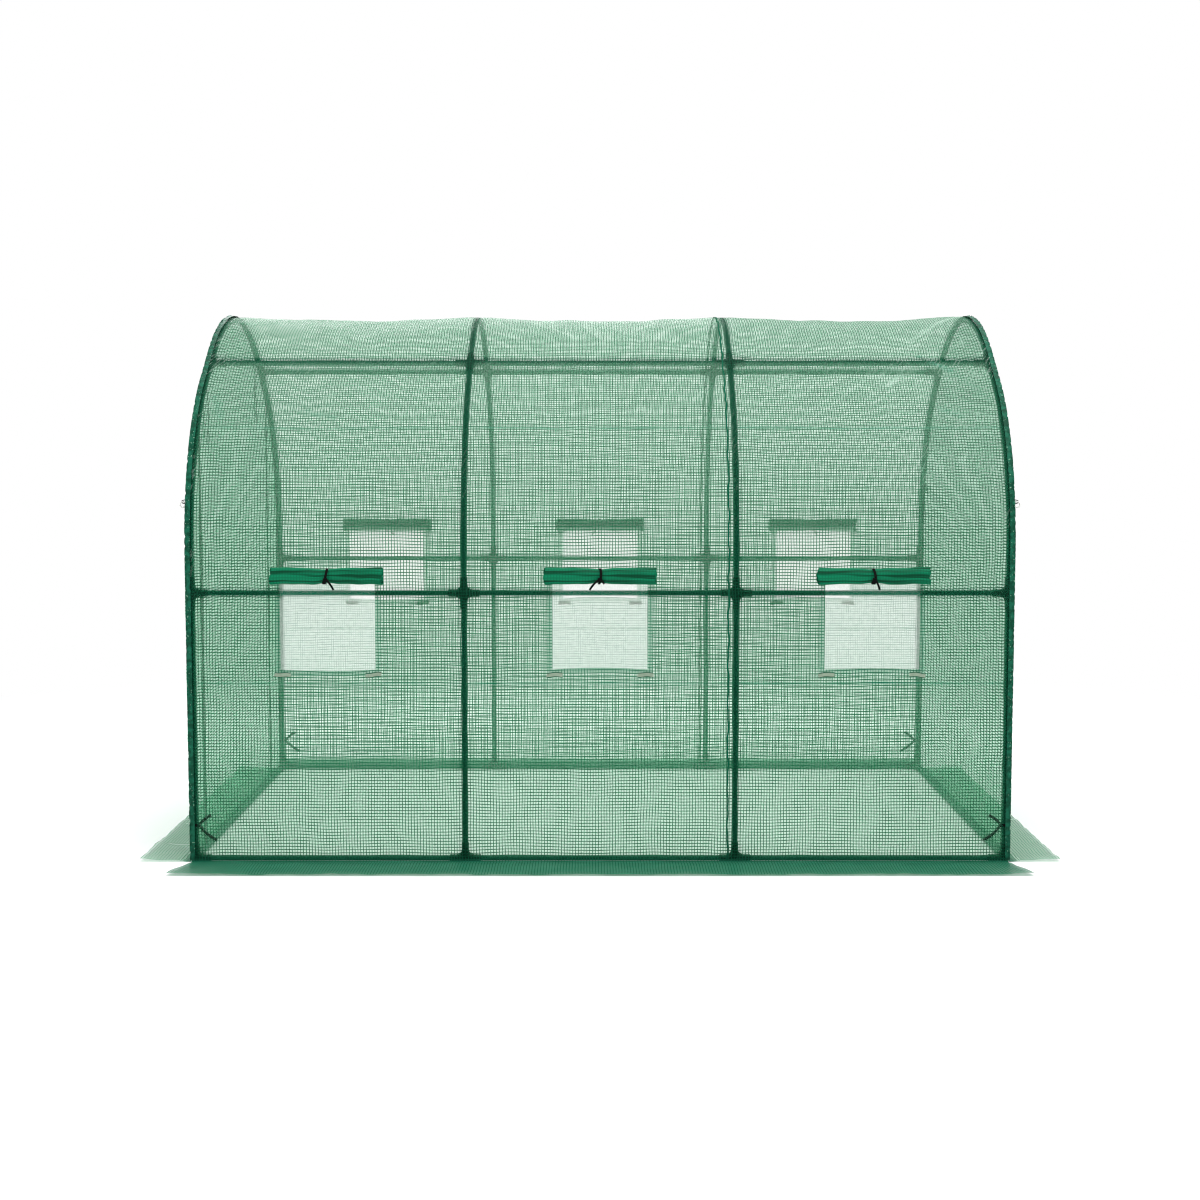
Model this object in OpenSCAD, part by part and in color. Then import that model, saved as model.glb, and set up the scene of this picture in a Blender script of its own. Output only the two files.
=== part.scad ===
// Walk-in tunnel greenhouse: four bent tube hoops joined by moulded fittings, under a woven film cover.
// X runs along the tunnel with the door end at -X, Y runs across it, Z is up and zero is the ground.
// Right and left are as seen when facing the door from outside, so the right side is at -Y.

/* [Tunnel] */
// Width over the cover at the ground
tunnel_w = 2000; // [1800:10:2400]
// Length over the two end walls
tunnel_l = 3000; // [2400:10:4000]
// Height of the straight part of the side walls, up to the shoulder bend
post_h = 1135; // [1100:5:1400]
// Bend radius of the shoulders at the tube's centre line
shoulder_r = 760; // [600:5:800]
// Bend radius of the crown at the tube's centre line
crown_r = 875; // [760:5:920]
// Slope of the straight stretch between a shoulder and the crown
slope_deg = 35; // [30:1:40]
// Height of the rail half way up the side walls
mid_rail_z = 990; // [700:5:1010]

/* [Frame] */
// Outside diameter of every tube
tube_d = 19; // [15:0.5:22]
// Outside diameter of a fitting's sleeves
sleeve_d = 26; // [25:0.5:32]
// Reach of a sleeve from the middle of its fitting
arm_l = 57; // [45:1:64]
// Radius of the webs in a fitting's corners
web_r = 18; // [8:1:24]
// Thickness of those webs
web_t = 10; // [6:1:16]

/* [Cover] */
// Thickness of the film cover
sheet_t = 2; // [1:0.5:4]
// Width of the skirts beside the long walls
side_skirt_w = 230; // [100:5:400]
// Width of the skirts before the end walls
end_skirt_w = 190; // [100:5:400]

/* [Door] */
// Distance between the middles of the two zips
door_w = 1470; // [1200:10:1600]
// Width of a zip with both its tapes
zip_w = 32; // [24:1:44]
// Width of the zip's chain of teeth
chain_w = 12; // [6:1:16]
// Thickness of the chain in front of the tapes
chain_t = 3; // [2:0.5:5]
// Height of the zips' upper ends
zip_top_z = 1640; // [1300:10:1660]
// Height of the sliders, which sit at the bottom when the door is shut
slider_z = 30; // [15:1:80]
// Width of a slider
slider_w = 16; // [14:1:24]
// Height of a slider
slider_h = 26; // [18:1:36]
// Thickness of a slider
slider_t = 5; // [3:0.5:8]
// Width of a slider's pull
pull_w = 9; // [6:1:14]
// Length of a slider's pull
pull_l = 34; // [24:1:40]
// Thickness of a slider's pull
pull_t = 2; // [1:0.5:4]

/* [Windows] */
// Width of a window's hole
window_w = 345; // [240:5:420]
// Height of a window's hole
window_h = 320; // [200:5:360]
// Drop of the right windows' upper edge below the shoulder bend
right_window_drop = 105; // [60:5:250]
// Drop of the left windows' upper edge below the shoulder bend, where the cover sits higher
left_window_drop = 15; // [15:5:250]
// Lap of the insect net behind the film
net_lap = 12; // [5:1:14]
// Thickness of the insect net
net_t = 1; // [0.5:0.5:2]
// Length of a rolled-up flap
roll_l = 403; // [360:1:460]
// Height of the roll
roll_h = 62; // [45:1:80]
// Depth of the roll, which lies flat on the wall
roll_depth = 40; // [20:1:44]
// Reach of the roll below the hole's upper edge
roll_lap = 8; // [2:1:20]
// Width of the tape tied round a roll
tie_w = 10; // [6:1:16]
// Thickness of that tape
tie_t = 2; // [1:0.5:3]
// Width and height of a knot
knot_d = 16; // [10:1:24]
// Thickness of a knot
knot_t = 8; // [5:1:12]
// Width of a hook-and-loop tab
tab_w = 58; // [30:1:90]
// Height of a tab
tab_h = 16; // [10:1:30]
// Thickness of a tab
tab_t = 1.5; // [1:0.5:3]
// Reach of a tab's middle in from the side of the hole
tab_inset = 7; // [0:1:20]
// Drop of a tab below the sill
tab_drop = 10; // [4:1:20]

/* [Rings] */
// Mean diameter of a guy ring
ring_d = 20; // [16:1:32]
// Thickness of the ring's bar
ring_bar_d = 5.5; // [4:0.5:7]
// Thickness of the cord loop that holds a ring
loop_cord_d = 3; // [2:0.5:4]
// Height of the loops
loop_z = 1320; // [1150:5:1340]
// Distance of the rings from the middle of the tunnel
ring_y = 955; // [800:5:960]

/* [Ties] */
// Height of the ties round the corner posts
corner_tie_z = 136; // [100:1:400]
// Length of a corner tie's tails
tail_l = 90; // [40:5:140]
// Slant of those tails
tail_deg = 40; // [20:5:60]
// Width of the tape of a door tie
door_tie_d = 8; // [5:0.5:8]

/* [Hidden] */

// True circles need more than twelve sides
$fn = 64;
tube_green = "#17372a";
fitting_green = "#10291d";
film_green = "#6fb78c";
skirt_green = "#43886a";
net_white = "#dfe7e1";
tape_black = "#1b1f1d";
tab_grey = "#8f9c90";
ring_white = "#f2f2ee";

// Clearance between a piece and its seat
seat_gap = 0.3;
// Clearance round a tube in its sleeve
socket_gap = 0.25;
// Straight tube left between a sleeve and a bend
bend_lead = 3;
// Reduction all round of a bent tube's ends, which are drawn in to enter a fitting
draw_in = 0.2;
// Reach of a drawn-in end into its bend
draw_lap = 4;
// Overrun of every cut
over = 1;
// Steps along a bend in an outline
bend_steps = 16;

// Cover and frame: the film lies on the sleeves, which are the widest part of the frame
cover_in = sleeve_d / 2 + seat_gap;
cover_out = cover_in + sheet_t;
half_w = tunnel_w / 2 - cover_out;
end_x = tunnel_l / 2;
inner_x = end_x - sheet_t;
hoop_reach = inner_x - cover_in;
bays = 3;
bay_l = 2 * hoop_reach / bays;
hoop_xs = [for (i = [0 : bays]) -hoop_reach + i * bay_l];
end_xs = [hoop_xs[0], hoop_xs[bays]];
inner_xs = [for (i = [1 : bays - 1]) hoop_xs[i]];
window_xs = [for (i = [0 : bays - 1]) hoop_xs[i] + bay_l / 2];
sides = [-1, 1];

// Centre line of a hoop: post, shoulder bend, straight slope, crown bend
turn_deg = 90 - slope_deg;
shoulder_y = half_w - shoulder_r;
slope_y = half_w - shoulder_r * (1 - cos(turn_deg));
slope_z = post_h + shoulder_r * sin(turn_deg);
slope_l = (slope_y - crown_r * cos(turn_deg)) / sin(turn_deg);
crown_z = slope_z + slope_l * cos(turn_deg) - crown_r * sin(turn_deg);
stop_l = sleeve_d / 2;
base_z = sleeve_d / 2;
purlin_s = slope_l - arm_l - bend_lead;
purlin_y = slope_y - purlin_s * sin(turn_deg);
purlin_z = slope_z + purlin_s * cos(turn_deg);

// Walls, windows and door
wall_y = tunnel_w / 2;
wall_in_y = wall_y - sheet_t;
roll_section = [roll_depth, roll_h];
strap_section = [roll_depth + 2 * tie_t, roll_h + 2 * tie_t];
door_edge_y = (door_w - zip_w) / 2;
panel_edge_y = (door_w + zip_w) / 2;
ring_x = end_x + seat_gap + ring_bar_d / 2;
loop_r = seat_gap + ring_bar_d + seat_gap + loop_cord_d / 2;

// Routes of the door ties, from the arch seam down to the bare end
right_outer_route = [
    [-1504, -612, 1795], [-1504, -612, 1779], [-1504, -613, 1763], [-1504, -613, 1747],
    [-1504, -614, 1731], [-1504, -616, 1715], [-1504, -618, 1699], [-1504, -619, 1683],
    [-1504, -620, 1667], [-1504, -621, 1651], [-1504, -621, 1635], [-1504, -620, 1619],
    [-1504, -619, 1603], [-1504, -619, 1587], [-1504, -618, 1571], [-1504, -618, 1555]
];
right_inner_route = [
    [-1494, -606, 1765], [-1494, -603, 1749], [-1494, -598, 1733], [-1494, -593, 1717],
    [-1494, -587, 1701], [-1494, -582, 1685], [-1494, -578, 1669], [-1494, -575, 1653],
    [-1494, -574, 1637], [-1494, -574, 1621], [-1494, -577, 1605], [-1494, -581, 1589],
    [-1494, -586, 1573], [-1494, -590, 1557], [-1494, -594, 1541], [-1494, -597, 1525]
];
left_outer_route = [
    [-1504, 484, 1880], [-1504, 484, 1864], [-1504, 485, 1848], [-1504, 485, 1832],
    [-1504, 486, 1816], [-1504, 487, 1800], [-1504, 487, 1784], [-1504, 486, 1768],
    [-1504, 485, 1752], [-1504, 484, 1736], [-1504, 482, 1720], [-1504, 481, 1704],
    [-1504, 480, 1688], [-1504, 479, 1672], [-1504, 478, 1656], [-1504, 478, 1640]
];
left_inner_route = [
    [-1494, 474, 1850], [-1494, 472, 1834], [-1494, 470, 1818], [-1494, 468, 1802],
    [-1494, 466, 1786], [-1494, 464, 1770], [-1494, 463, 1754], [-1494, 463, 1738],
    [-1494, 463, 1722], [-1494, 464, 1706], [-1494, 466, 1690], [-1494, 467, 1674],
    [-1494, 469, 1658], [-1494, 470, 1642], [-1494, 471, 1626], [-1494, 472, 1610]
];
cord_sides = 8;

// Points along a bend, for an outline
function bend_points(cy, cz, r, from, to) =
    [for (i = [0 : bend_steps])
        let (a = from + (to - from) * i / bend_steps) [cy + r * cos(a), cz + r * sin(a)]];

// Outline of the arch at a distance outside the tubes' centre line
function arch_points(out) = concat(
    [[half_w + out, 0]],
    bend_points(shoulder_y, post_h, shoulder_r + out, 0, turn_deg),
    bend_points(0, crown_z, crown_r + out, turn_deg, 180 - turn_deg),
    bend_points(-shoulder_y, post_h, shoulder_r + out, 180 - turn_deg, 180),
    [[-half_w - out, 0]]);

// Outline of the roof from one shoulder bend to the other, at a distance outside the tubes' centre line
function roof_points(out, from) =
    let (foot = [slope_y + out * cos(turn_deg), slope_z + out * sin(turn_deg)])
    concat(
        [[from < 180 - from ? foot.x : -foot.x, foot.y]],
        bend_points(0, crown_z, crown_r + out, from, 180 - from),
        [[from < 180 - from ? -foot.x : foot.x, foot.y]]);

// Outline with straight flanks and round ends
function stadium_points(size) = concat(
    bend_points(0, (size.y - size.x) / 2, size.x / 2, 0, 180),
    bend_points(0, (size.x - size.y) / 2, size.x / 2, 180, 360));

// Stands an outline drawn in Y and Z upright, with its thickness along X
module upright() {
    rotate([90, 0, 90])
        children();
}

// Copies to both ends, facing outwards
module both_ends() {
    for (turn = [0, 180])
        rotate([0, 0, turn])
            children();
}

// A straight tube in the plane of a hoop
module straight_tube(at, heading, l, d = tube_d) {
    translate(at)
        rotate([0, 0, heading - 90])
            rotate([-90, 0, 0])
                cylinder(h = l, d = d);
}

// A bent tube in the plane of a hoop
module bent_tube(centre, r, from, turn) {
    translate(centre)
        rotate([0, 0, from])
            rotate_extrude(angle = turn)
                translate([r, 0])
                    circle(d = tube_d);
}

// A drawn-in tube end along the slope, between two distances from the shoulder bend
module slope_end(from, to) {
    straight_tube([slope_y - from * sin(turn_deg), slope_z + from * cos(turn_deg), 0],
        90 + turn_deg, to - from, tube_d - 2 * draw_in);
}

// The straight post and the bent shoulder tube of one flank
module hoop_flank() {
    straight_tube([half_w, base_z + stop_l, 0], 90, mid_rail_z - base_z - 2 * stop_l);
    straight_tube([half_w, mid_rail_z + stop_l, 0], 90, post_h - mid_rail_z - stop_l);
    bent_tube([shoulder_y, post_h, 0], shoulder_r, 0, turn_deg);
    slope_end(-draw_lap, purlin_s - stop_l);
}

// The crown tube, straight in its two sleeves
module hoop_crown() {
    bent_tube([0, crown_z, 0], crown_r, turn_deg, 180 - 2 * turn_deg);
    for (side = [0, 1])
        mirror([side, 0, 0])
            slope_end(purlin_s + stop_l, slope_l + draw_lap);
}

module hoop(i) {
    color(tube_green)
        translate([hoop_xs[i], 0, 0])
            upright() {
                for (side = [0, 1])
                    mirror([side, 0, 0])
                        hoop_flank();
                hoop_crown();
            }
}

// One tube in each bay, between the fittings of its two hoops
module bay_tubes(y, z) {
    color(tube_green)
        for (i = [0 : bays - 1])
            translate([hoop_xs[i] + stop_l, y, z])
                rotate([0, 90, 0])
                    cylinder(h = bay_l - 2 * stop_l, d = tube_d);
}

module end_base_rails() {
    color(tube_green)
        for (x = end_xs)
            translate([x, half_w - stop_l, base_z])
                rotate([90, 0, 0])
                    cylinder(h = 2 * (half_w - stop_l), d = tube_d);
}

// A sleeve along Z, closed to the middle of the fitting by the stop
module sleeve() {
    translate([0, 0, -sleeve_d / 2])
        cylinder(h = arm_l + sleeve_d / 2, d = sleeve_d);
}

module socket() {
    translate([0, 0, stop_l])
        cylinder(h = arm_l - stop_l + over, d = tube_d + 2 * socket_gap);
}

// Web with a hollow edge in the corner between the +X and +Z sleeves, sunk to the sleeves' middles
module corner_web() {
    foot = sleeve_d / 2 + web_r;
    rotate([90, 0, 0])
        linear_extrude(height = web_t, center = true)
            difference() {
                square([foot, foot]);
                translate([foot, foot])
                    circle(r = web_r);
            }
}

// A moulded fitting: sleeves and sockets along the turns in arms, webs along the turns in webs
module fitting(arms, webs) {
    difference() {
        union() {
            for (arm = arms)
                rotate(arm)
                    sleeve();
            for (web = webs)
                rotate(web)
                    corner_web();
        }
        for (arm = arms)
            rotate(arm)
                socket();
    }
}

// Turns that carry the Z axis to each direction, and the +X +Z corner to each other corner
up = [0, 0, 0];
down = [180, 0, 0];
fore = [0, 90, 0];
aft = [0, -90, 0];
inward = [-90, 0, 0];
fore_up = [0, 0, 0];
fore_down = [0, 90, 0];
aft_down = [0, 180, 0];
aft_up = [0, -90, 0];
inward_up = [0, 0, 90];
fore_inward = [-90, 0, 0];

// Three sleeves at each corner of the base
module corner_elbows() {
    color(fitting_green)
        for (side = [0, 1], turn = [0, 1])
            mirror([0, side, 0])
                mirror([turn, 0, 0])
                    translate([-hoop_reach, -half_w, base_z])
                        fitting([up, fore, inward], [fore_up, inward_up, fore_inward]);
}

module base_tees() {
    color(fitting_green)
        for (side = sides, x = inner_xs)
            translate([x, side * half_w, base_z])
                fitting([up, fore, aft], [fore_up, aft_up]);
}

// Tees on the end hoops point along the tunnel
module mid_tees() {
    color(fitting_green)
        for (side = sides, turn = [0, 1])
            mirror([turn, 0, 0])
                translate([-hoop_reach, side * half_w, mid_rail_z])
                    fitting([up, down, fore], [fore_up, fore_down]);
}

module mid_crosses() {
    color(fitting_green)
        for (side = sides, x = inner_xs)
            translate([x, side * half_w, mid_rail_z])
                fitting([up, down, fore, aft], [fore_up, fore_down, aft_down, aft_up]);
}

module purlin_tees() {
    color(fitting_green)
        for (side = [0, 1], turn = [0, 1])
            mirror([0, side, 0])
                mirror([turn, 0, 0])
                    translate([-hoop_reach, purlin_y, purlin_z])
                        rotate([turn_deg, 0, 0])
                            fitting([up, down, fore], [fore_up, fore_down]);
}

module purlin_crosses() {
    color(fitting_green)
        for (side = [0, 1], x = inner_xs)
            mirror([0, side, 0])
                translate([x, purlin_y, purlin_z])
                    rotate([turn_deg, 0, 0])
                        fitting([up, down, fore, aft], [fore_up, fore_down, aft_down, aft_up]);
}

// Upright film between the skirt and the shoulder bend, with a hole for each window
module wall_sheet(side, drop) {
    color(film_green)
        difference() {
            translate([-inner_x, side < 0 ? -wall_y : wall_in_y, sheet_t])
                cube([2 * inner_x, sheet_t, post_h - sheet_t]);
            for (x = window_xs)
                translate([
                    x - window_w / 2,
                    (side < 0 ? -wall_y : wall_in_y) - over,
                    post_h - drop - window_h
                ])
                    cube([window_w, sheet_t + 2 * over, window_h]);
        }
}

// Film bent over one shoulder
module shoulder_sheet(side) {
    color(film_green)
        upright()
            mirror([side < 0 ? 1 : 0, 0, 0])
                translate([shoulder_y, post_h, 0])
                    rotate_extrude(angle = turn_deg)
                        translate([shoulder_r + cover_in, -inner_x])
                            square([sheet_t, 2 * inner_x]);
}

// Film drawn tight in flat runs over the crown and the straight slopes on both sides of it
module roof_sheet() {
    color(film_green)
        upright()
            translate([0, 0, -inner_x])
                linear_extrude(height = 2 * inner_x)
                    polygon(concat(
                        roof_points(cover_out, turn_deg),
                        roof_points(cover_in, 180 - turn_deg)));
}

// The part of an end wall between two distances across the tunnel
module end_film(from_y, to_y) {
    upright()
        linear_extrude(height = sheet_t)
            intersection() {
                polygon(arch_points(cover_out));
                translate([from_y, sheet_t])
                    square([to_y - from_y, tunnel_w + post_h]);
            }
}

module front_right_panel() {
    color(film_green)
        translate([-end_x, 0, 0])
            end_film(-wall_y, -panel_edge_y);
}

module front_left_panel() {
    color(film_green)
        translate([-end_x, 0, 0])
            end_film(panel_edge_y, wall_y);
}

module door_panel() {
    color(film_green)
        translate([-end_x, 0, 0])
            end_film(-door_edge_y, door_edge_y);
}

module back_wall_sheet() {
    color(film_green)
        translate([inner_x, 0, 0])
            end_film(-wall_y, wall_y);
}

// Film laid out on the ground, with the foot of its wall standing on the inner edge
module right_skirt() {
    color(skirt_green)
        translate([-inner_x, -wall_y - side_skirt_w, 0])
            cube([2 * inner_x, side_skirt_w + sheet_t, sheet_t]);
}

module left_skirt() {
    color(skirt_green)
        translate([-inner_x, wall_in_y, 0])
            cube([2 * inner_x, side_skirt_w + sheet_t, sheet_t]);
}

module front_skirts() {
    color(skirt_green)
        for (span = [[-wall_y, -panel_edge_y], [-door_edge_y, door_edge_y], [panel_edge_y, wall_y]])
            translate([-end_x - end_skirt_w, span[0], 0])
                cube([end_skirt_w + sheet_t, span[1] - span[0], sheet_t]);
}

module back_skirt() {
    color(skirt_green)
        translate([inner_x, -wall_y, 0])
            cube([end_skirt_w + sheet_t, 2 * wall_y, sheet_t]);
}

// Tapes level with the panels, and a chain that stands proud of them
module door_zips() {
    color(tape_black)
        translate([-end_x, 0, 0])
            for (side = sides) {
                end_film(side * door_w / 2 - zip_w / 2, side * door_w / 2 + zip_w / 2);
                translate([-chain_t, side * door_w / 2 - chain_w / 2, sheet_t])
                    cube([chain_t, chain_w, zip_top_z - sheet_t]);
            }
}

// Tapered slider on the chain, with its pull hanging in front
module zip_sliders() {
    nose_share = 0.6;
    hole_share = 0.5;
    color(tape_black)
        for (side = sides)
            translate([-end_x - chain_t, side * door_w / 2, slider_z]) {
                translate([-slider_t, 0, 0])
                    upright()
                        linear_extrude(height = slider_t)
                            polygon([
                                [-slider_w / 2 * nose_share, -slider_h / 2],
                                [slider_w / 2 * nose_share, -slider_h / 2],
                                [slider_w / 2, slider_h / 2],
                                [-slider_w / 2, slider_h / 2]
                            ]);
                translate([-slider_t - pull_t, 0, slider_h / 2 - pull_l])
                    difference() {
                        translate([0, -pull_w / 2, 0])
                            cube([pull_t, pull_w, pull_l]);
                        translate([-over, 0, pull_w / 2])
                            rotate([0, 90, 0])
                                cylinder(h = pull_t + 2 * over, d = pull_w * hole_share);
                    }
            }
}

// Insect nets lapped behind the film
module window_nets(side, drop) {
    color(net_white)
        for (x = window_xs)
            translate([
                x - window_w / 2 - net_lap,
                side < 0 ? -wall_in_y : wall_in_y - net_t,
                post_h - drop - window_h - net_lap
            ])
                cube([window_w + 2 * net_lap, net_t, window_h + 2 * net_lap]);
}

// Height of the middle of the rolls
function roll_z(drop) = post_h - drop - roll_lap + roll_h / 2;

module window_rolls(side, drop) {
    color(skirt_green)
        for (x = window_xs)
            translate([x - roll_l / 2, side * (wall_y + roll_depth / 2), roll_z(drop)])
                upright()
                    linear_extrude(height = roll_l)
                        polygon(stadium_points(roll_section));
}

// Tape over the roll from wall to wall, with a knot in front
module window_tie() {
    strap_y = roll_depth / 2;
    upright()
        linear_extrude(height = tie_w, center = true)
            difference() {
                polygon(stadium_points(strap_section));
                polygon(stadium_points(roll_section));
                translate([-strap_y - 2 * tie_t, -roll_h])
                    square([2 * tie_t, 2 * roll_h]);
            }
    translate([0, strap_y + tie_t, 0])
        rotate([-90, 0, 0])
            cylinder(h = knot_t, d = knot_d);
}

module window_ties() {
    color(tape_black)
        for (x = window_xs) {
            translate([x, wall_y + roll_depth / 2, roll_z(left_window_drop)])
                window_tie();
            translate([x, -wall_y - roll_depth / 2, roll_z(right_window_drop)])
                mirror([0, 1, 0])
                    window_tie();
        }
}

// Tabs that hold the flap's lower corners when it is let down
module window_tabs() {
    color(tab_grey)
        for (x = window_xs, end = sides, side = sides) {
            sill = post_h - (side < 0 ? right_window_drop : left_window_drop) - window_h;
            translate([
                x + end * (window_w / 2 - tab_inset) - tab_w / 2,
                side < 0 ? -wall_y - tab_t : wall_y,
                sill - tab_drop - tab_h
            ])
                cube([tab_w, tab_t, tab_h]);
        }
}

// White rings that hang flat against the end walls, for guy lines
module guy_rings() {
    color(ring_white)
        both_ends()
            for (side = sides)
                translate([-ring_x, side * ring_y, loop_z - ring_d / 2])
                    rotate([0, 90, 0])
                        rotate_extrude()
                            translate([ring_d / 2, 0])
                                circle(d = ring_bar_d);
}

// Cord loops sewn to the end walls, each round the top of its ring
module ring_loops() {
    color(tape_black)
        both_ends()
            for (side = sides)
                translate([-end_x, side * ring_y, loop_z])
                    rotate([90, 0, 0])
                        rotate([0, 0, 90])
                            rotate_extrude(angle = 180)
                                translate([loop_r, 0])
                                    circle(d = loop_cord_d);
}

// Tape tied round each corner post inside the film, with two slanting tails
module corner_ties() {
    tie_r = tube_d / 2 + seat_gap;
    tail_x = tie_r + tie_t / 2 + tie_w / 2 * sin(tail_deg);
    color(tape_black)
        for (side = [0, 1], turn = [0, 1])
            mirror([0, side, 0])
                mirror([turn, 0, 0])
                    translate([-hoop_reach, -half_w, corner_tie_z]) {
                        difference() {
                            translate([0, 0, -tie_w / 2])
                                cylinder(h = tie_w, r = tie_r + tie_t);
                            translate([0, 0, -tie_w / 2 - over])
                                cylinder(h = tie_w + 2 * over, r = tie_r);
                        }
                        for (slant = [-tail_deg, tail_deg])
                            translate([tail_x, 0, 0])
                                rotate([0, slant, 0])
                                    translate([0, -tie_t / 2, -tie_w / 2])
                                        cube([tail_l, tie_t, tie_w]);
                    }
}

// Tube of level rings along the points of a hanging tie, with a flat side to the film
module hanging_tie(route) {
    last = len(route) - 1;
    step = 360 / cord_sides;
    side_share = 0.5;
    points = [
        for (p = route, k = [0 : cord_sides - 1])
            p + door_tie_d / 2 * [cos((k + side_share) * step), sin((k + side_share) * step), 0]
    ];
    flanks = [
        for (i = [0 : last - 1], k = [0 : cord_sides - 1])
            let (a = i * cord_sides + k, b = i * cord_sides + (k + 1) % cord_sides)
                each [[a, b, b + cord_sides], [a, b + cord_sides, a + cord_sides]]
    ];
    top = [for (k = [cord_sides - 1 : -1 : 0]) k];
    end = [for (k = [0 : cord_sides - 1]) last * cord_sides + k];
    color(tape_black)
        polyhedron(points, concat(flanks, [top, end]));
}

hoop(0);  // front_hoop
hoop(1);  // second_hoop
hoop(2);  // third_hoop
hoop(3);  // back_hoop
bay_tubes(-half_w, base_z);  // right_base_rails
bay_tubes(half_w, base_z);  // left_base_rails
end_base_rails();
bay_tubes(-half_w, mid_rail_z);  // right_mid_rails
bay_tubes(half_w, mid_rail_z);  // left_mid_rails
bay_tubes(-purlin_y, purlin_z);  // right_purlins
bay_tubes(purlin_y, purlin_z);  // left_purlins
corner_elbows();
base_tees();
mid_tees();
mid_crosses();
purlin_tees();
purlin_crosses();
wall_sheet(-1, right_window_drop);  // right_wall_sheet
wall_sheet(1, left_window_drop);  // left_wall_sheet
shoulder_sheet(-1);  // right_shoulder_sheet
shoulder_sheet(1);  // left_shoulder_sheet
roof_sheet();
front_right_panel();
front_left_panel();
door_panel();
back_wall_sheet();
right_skirt();
left_skirt();
front_skirts();
back_skirt();
door_zips();
zip_sliders();
window_nets(-1, right_window_drop);  // right_window_nets
window_nets(1, left_window_drop);  // left_window_nets
window_rolls(-1, right_window_drop);  // right_window_rolls
window_rolls(1, left_window_drop);  // left_window_rolls
window_ties();
window_tabs();
guy_rings();
ring_loops();
corner_ties();
hanging_tie(right_outer_route);  // door_tie_right_outer
hanging_tie(right_inner_route);  // door_tie_right_inner
hanging_tie(left_outer_route);  // door_tie_left_outer
hanging_tie(left_inner_route);  // door_tie_left_inner
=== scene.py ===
import math

import bpy
import numpy as np
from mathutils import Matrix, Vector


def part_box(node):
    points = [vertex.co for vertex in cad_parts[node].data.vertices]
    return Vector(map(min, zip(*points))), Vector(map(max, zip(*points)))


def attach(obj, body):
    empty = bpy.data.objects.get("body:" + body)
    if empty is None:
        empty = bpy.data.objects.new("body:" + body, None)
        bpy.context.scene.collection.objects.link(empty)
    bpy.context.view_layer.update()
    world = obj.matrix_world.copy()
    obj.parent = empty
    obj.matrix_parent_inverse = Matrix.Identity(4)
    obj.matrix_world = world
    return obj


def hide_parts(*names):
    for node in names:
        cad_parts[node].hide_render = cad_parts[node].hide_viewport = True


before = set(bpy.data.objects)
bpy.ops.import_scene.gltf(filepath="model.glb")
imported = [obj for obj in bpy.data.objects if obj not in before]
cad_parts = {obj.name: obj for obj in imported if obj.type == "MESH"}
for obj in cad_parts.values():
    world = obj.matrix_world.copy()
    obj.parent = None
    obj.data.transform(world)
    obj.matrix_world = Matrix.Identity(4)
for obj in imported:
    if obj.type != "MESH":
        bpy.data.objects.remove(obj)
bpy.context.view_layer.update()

TAU = 2 * math.pi
CORNERS = [(end, side) for end in (-1, 1) for side in (-1, 1)]
ALONG = (1, 0, 0)
ACROSS = (0, 1, 0)
UP = (0, 0, 1)


def middle(node, axis):
    """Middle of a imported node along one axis."""
    return sum(getattr(corner, axis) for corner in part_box(node)) / 2


# Places of the cover, read from the frame, in metres
FILM_INSET = 0.001
TURN = math.radians(55)
ROOF_TURN = math.pi / 2 - TURN
wall_low, wall_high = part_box("right_wall_sheet")
roof_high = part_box("roof_sheet")[1]
WALL_Y = -wall_low.y - FILM_INSET
POST_H = wall_high.z
END_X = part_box("back_wall_sheet")[1].x - FILM_INSET
COVER_X = wall_high.x
FOOT_Y = roof_high.y - FILM_INSET * math.cos(TURN)
SHOULDER_R = (WALL_Y - FOOT_Y) / (1 - math.cos(TURN))
SHOULDER_Y = WALL_Y - SHOULDER_R
FOOT_Z = POST_H + SHOULDER_R * math.sin(TURN)
TOP_Z = roof_high.z - FILM_INSET
CROWN_R = (math.cos(TURN) * FOOT_Y + math.sin(TURN) * (FOOT_Z - TOP_Z)) / (1 - math.sin(TURN))
CROWN_Z = TOP_Z - CROWN_R
CROWN_Y = CROWN_R * math.cos(TURN)
SLOPE_L = (FOOT_Y - CROWN_Y) / math.sin(TURN)
SIDE_SKIRT_W = -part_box("right_skirt")[0].y - WALL_Y
END_SKIRT_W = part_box("back_skirt")[1].x - END_X
HOOPS = ["front_hoop", "second_hoop", "third_hoop", "back_hoop"]
HOOP_XS = [middle(hoop, "x") for hoop in HOOPS]
BAY_L = HOOP_XS[1] - HOOP_XS[0]
WINDOW_XS = [x + BAY_L / 2 for x in HOOP_XS[:-1]]

# Stretches of the cover, as distances from the crown along the film
FOLD_R = 0.006
CROWN_END = CROWN_R * ROOF_TURN
SLOPE_END = CROWN_END + SLOPE_L
SHOULDER_END = SLOPE_END + SHOULDER_R * TURN
WALL_END = SHOULDER_END + POST_H - FOLD_R
FOLD_END = WALL_END + FOLD_R * math.pi / 2
SKIRT_END = FOLD_END + SIDE_SKIRT_W - FOLD_R
STRETCH_ENDS = (CROWN_END, SLOPE_END, SHOULDER_END, WALL_END, FOLD_END, SKIRT_END)
PURLIN_S = CROWN_END + (middle("left_purlins", "y") - CROWN_Y) / math.sin(TURN)
MID_RAIL_Z = middle("right_mid_rails", "z")
GROUND_LIFT = 0.0015

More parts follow.
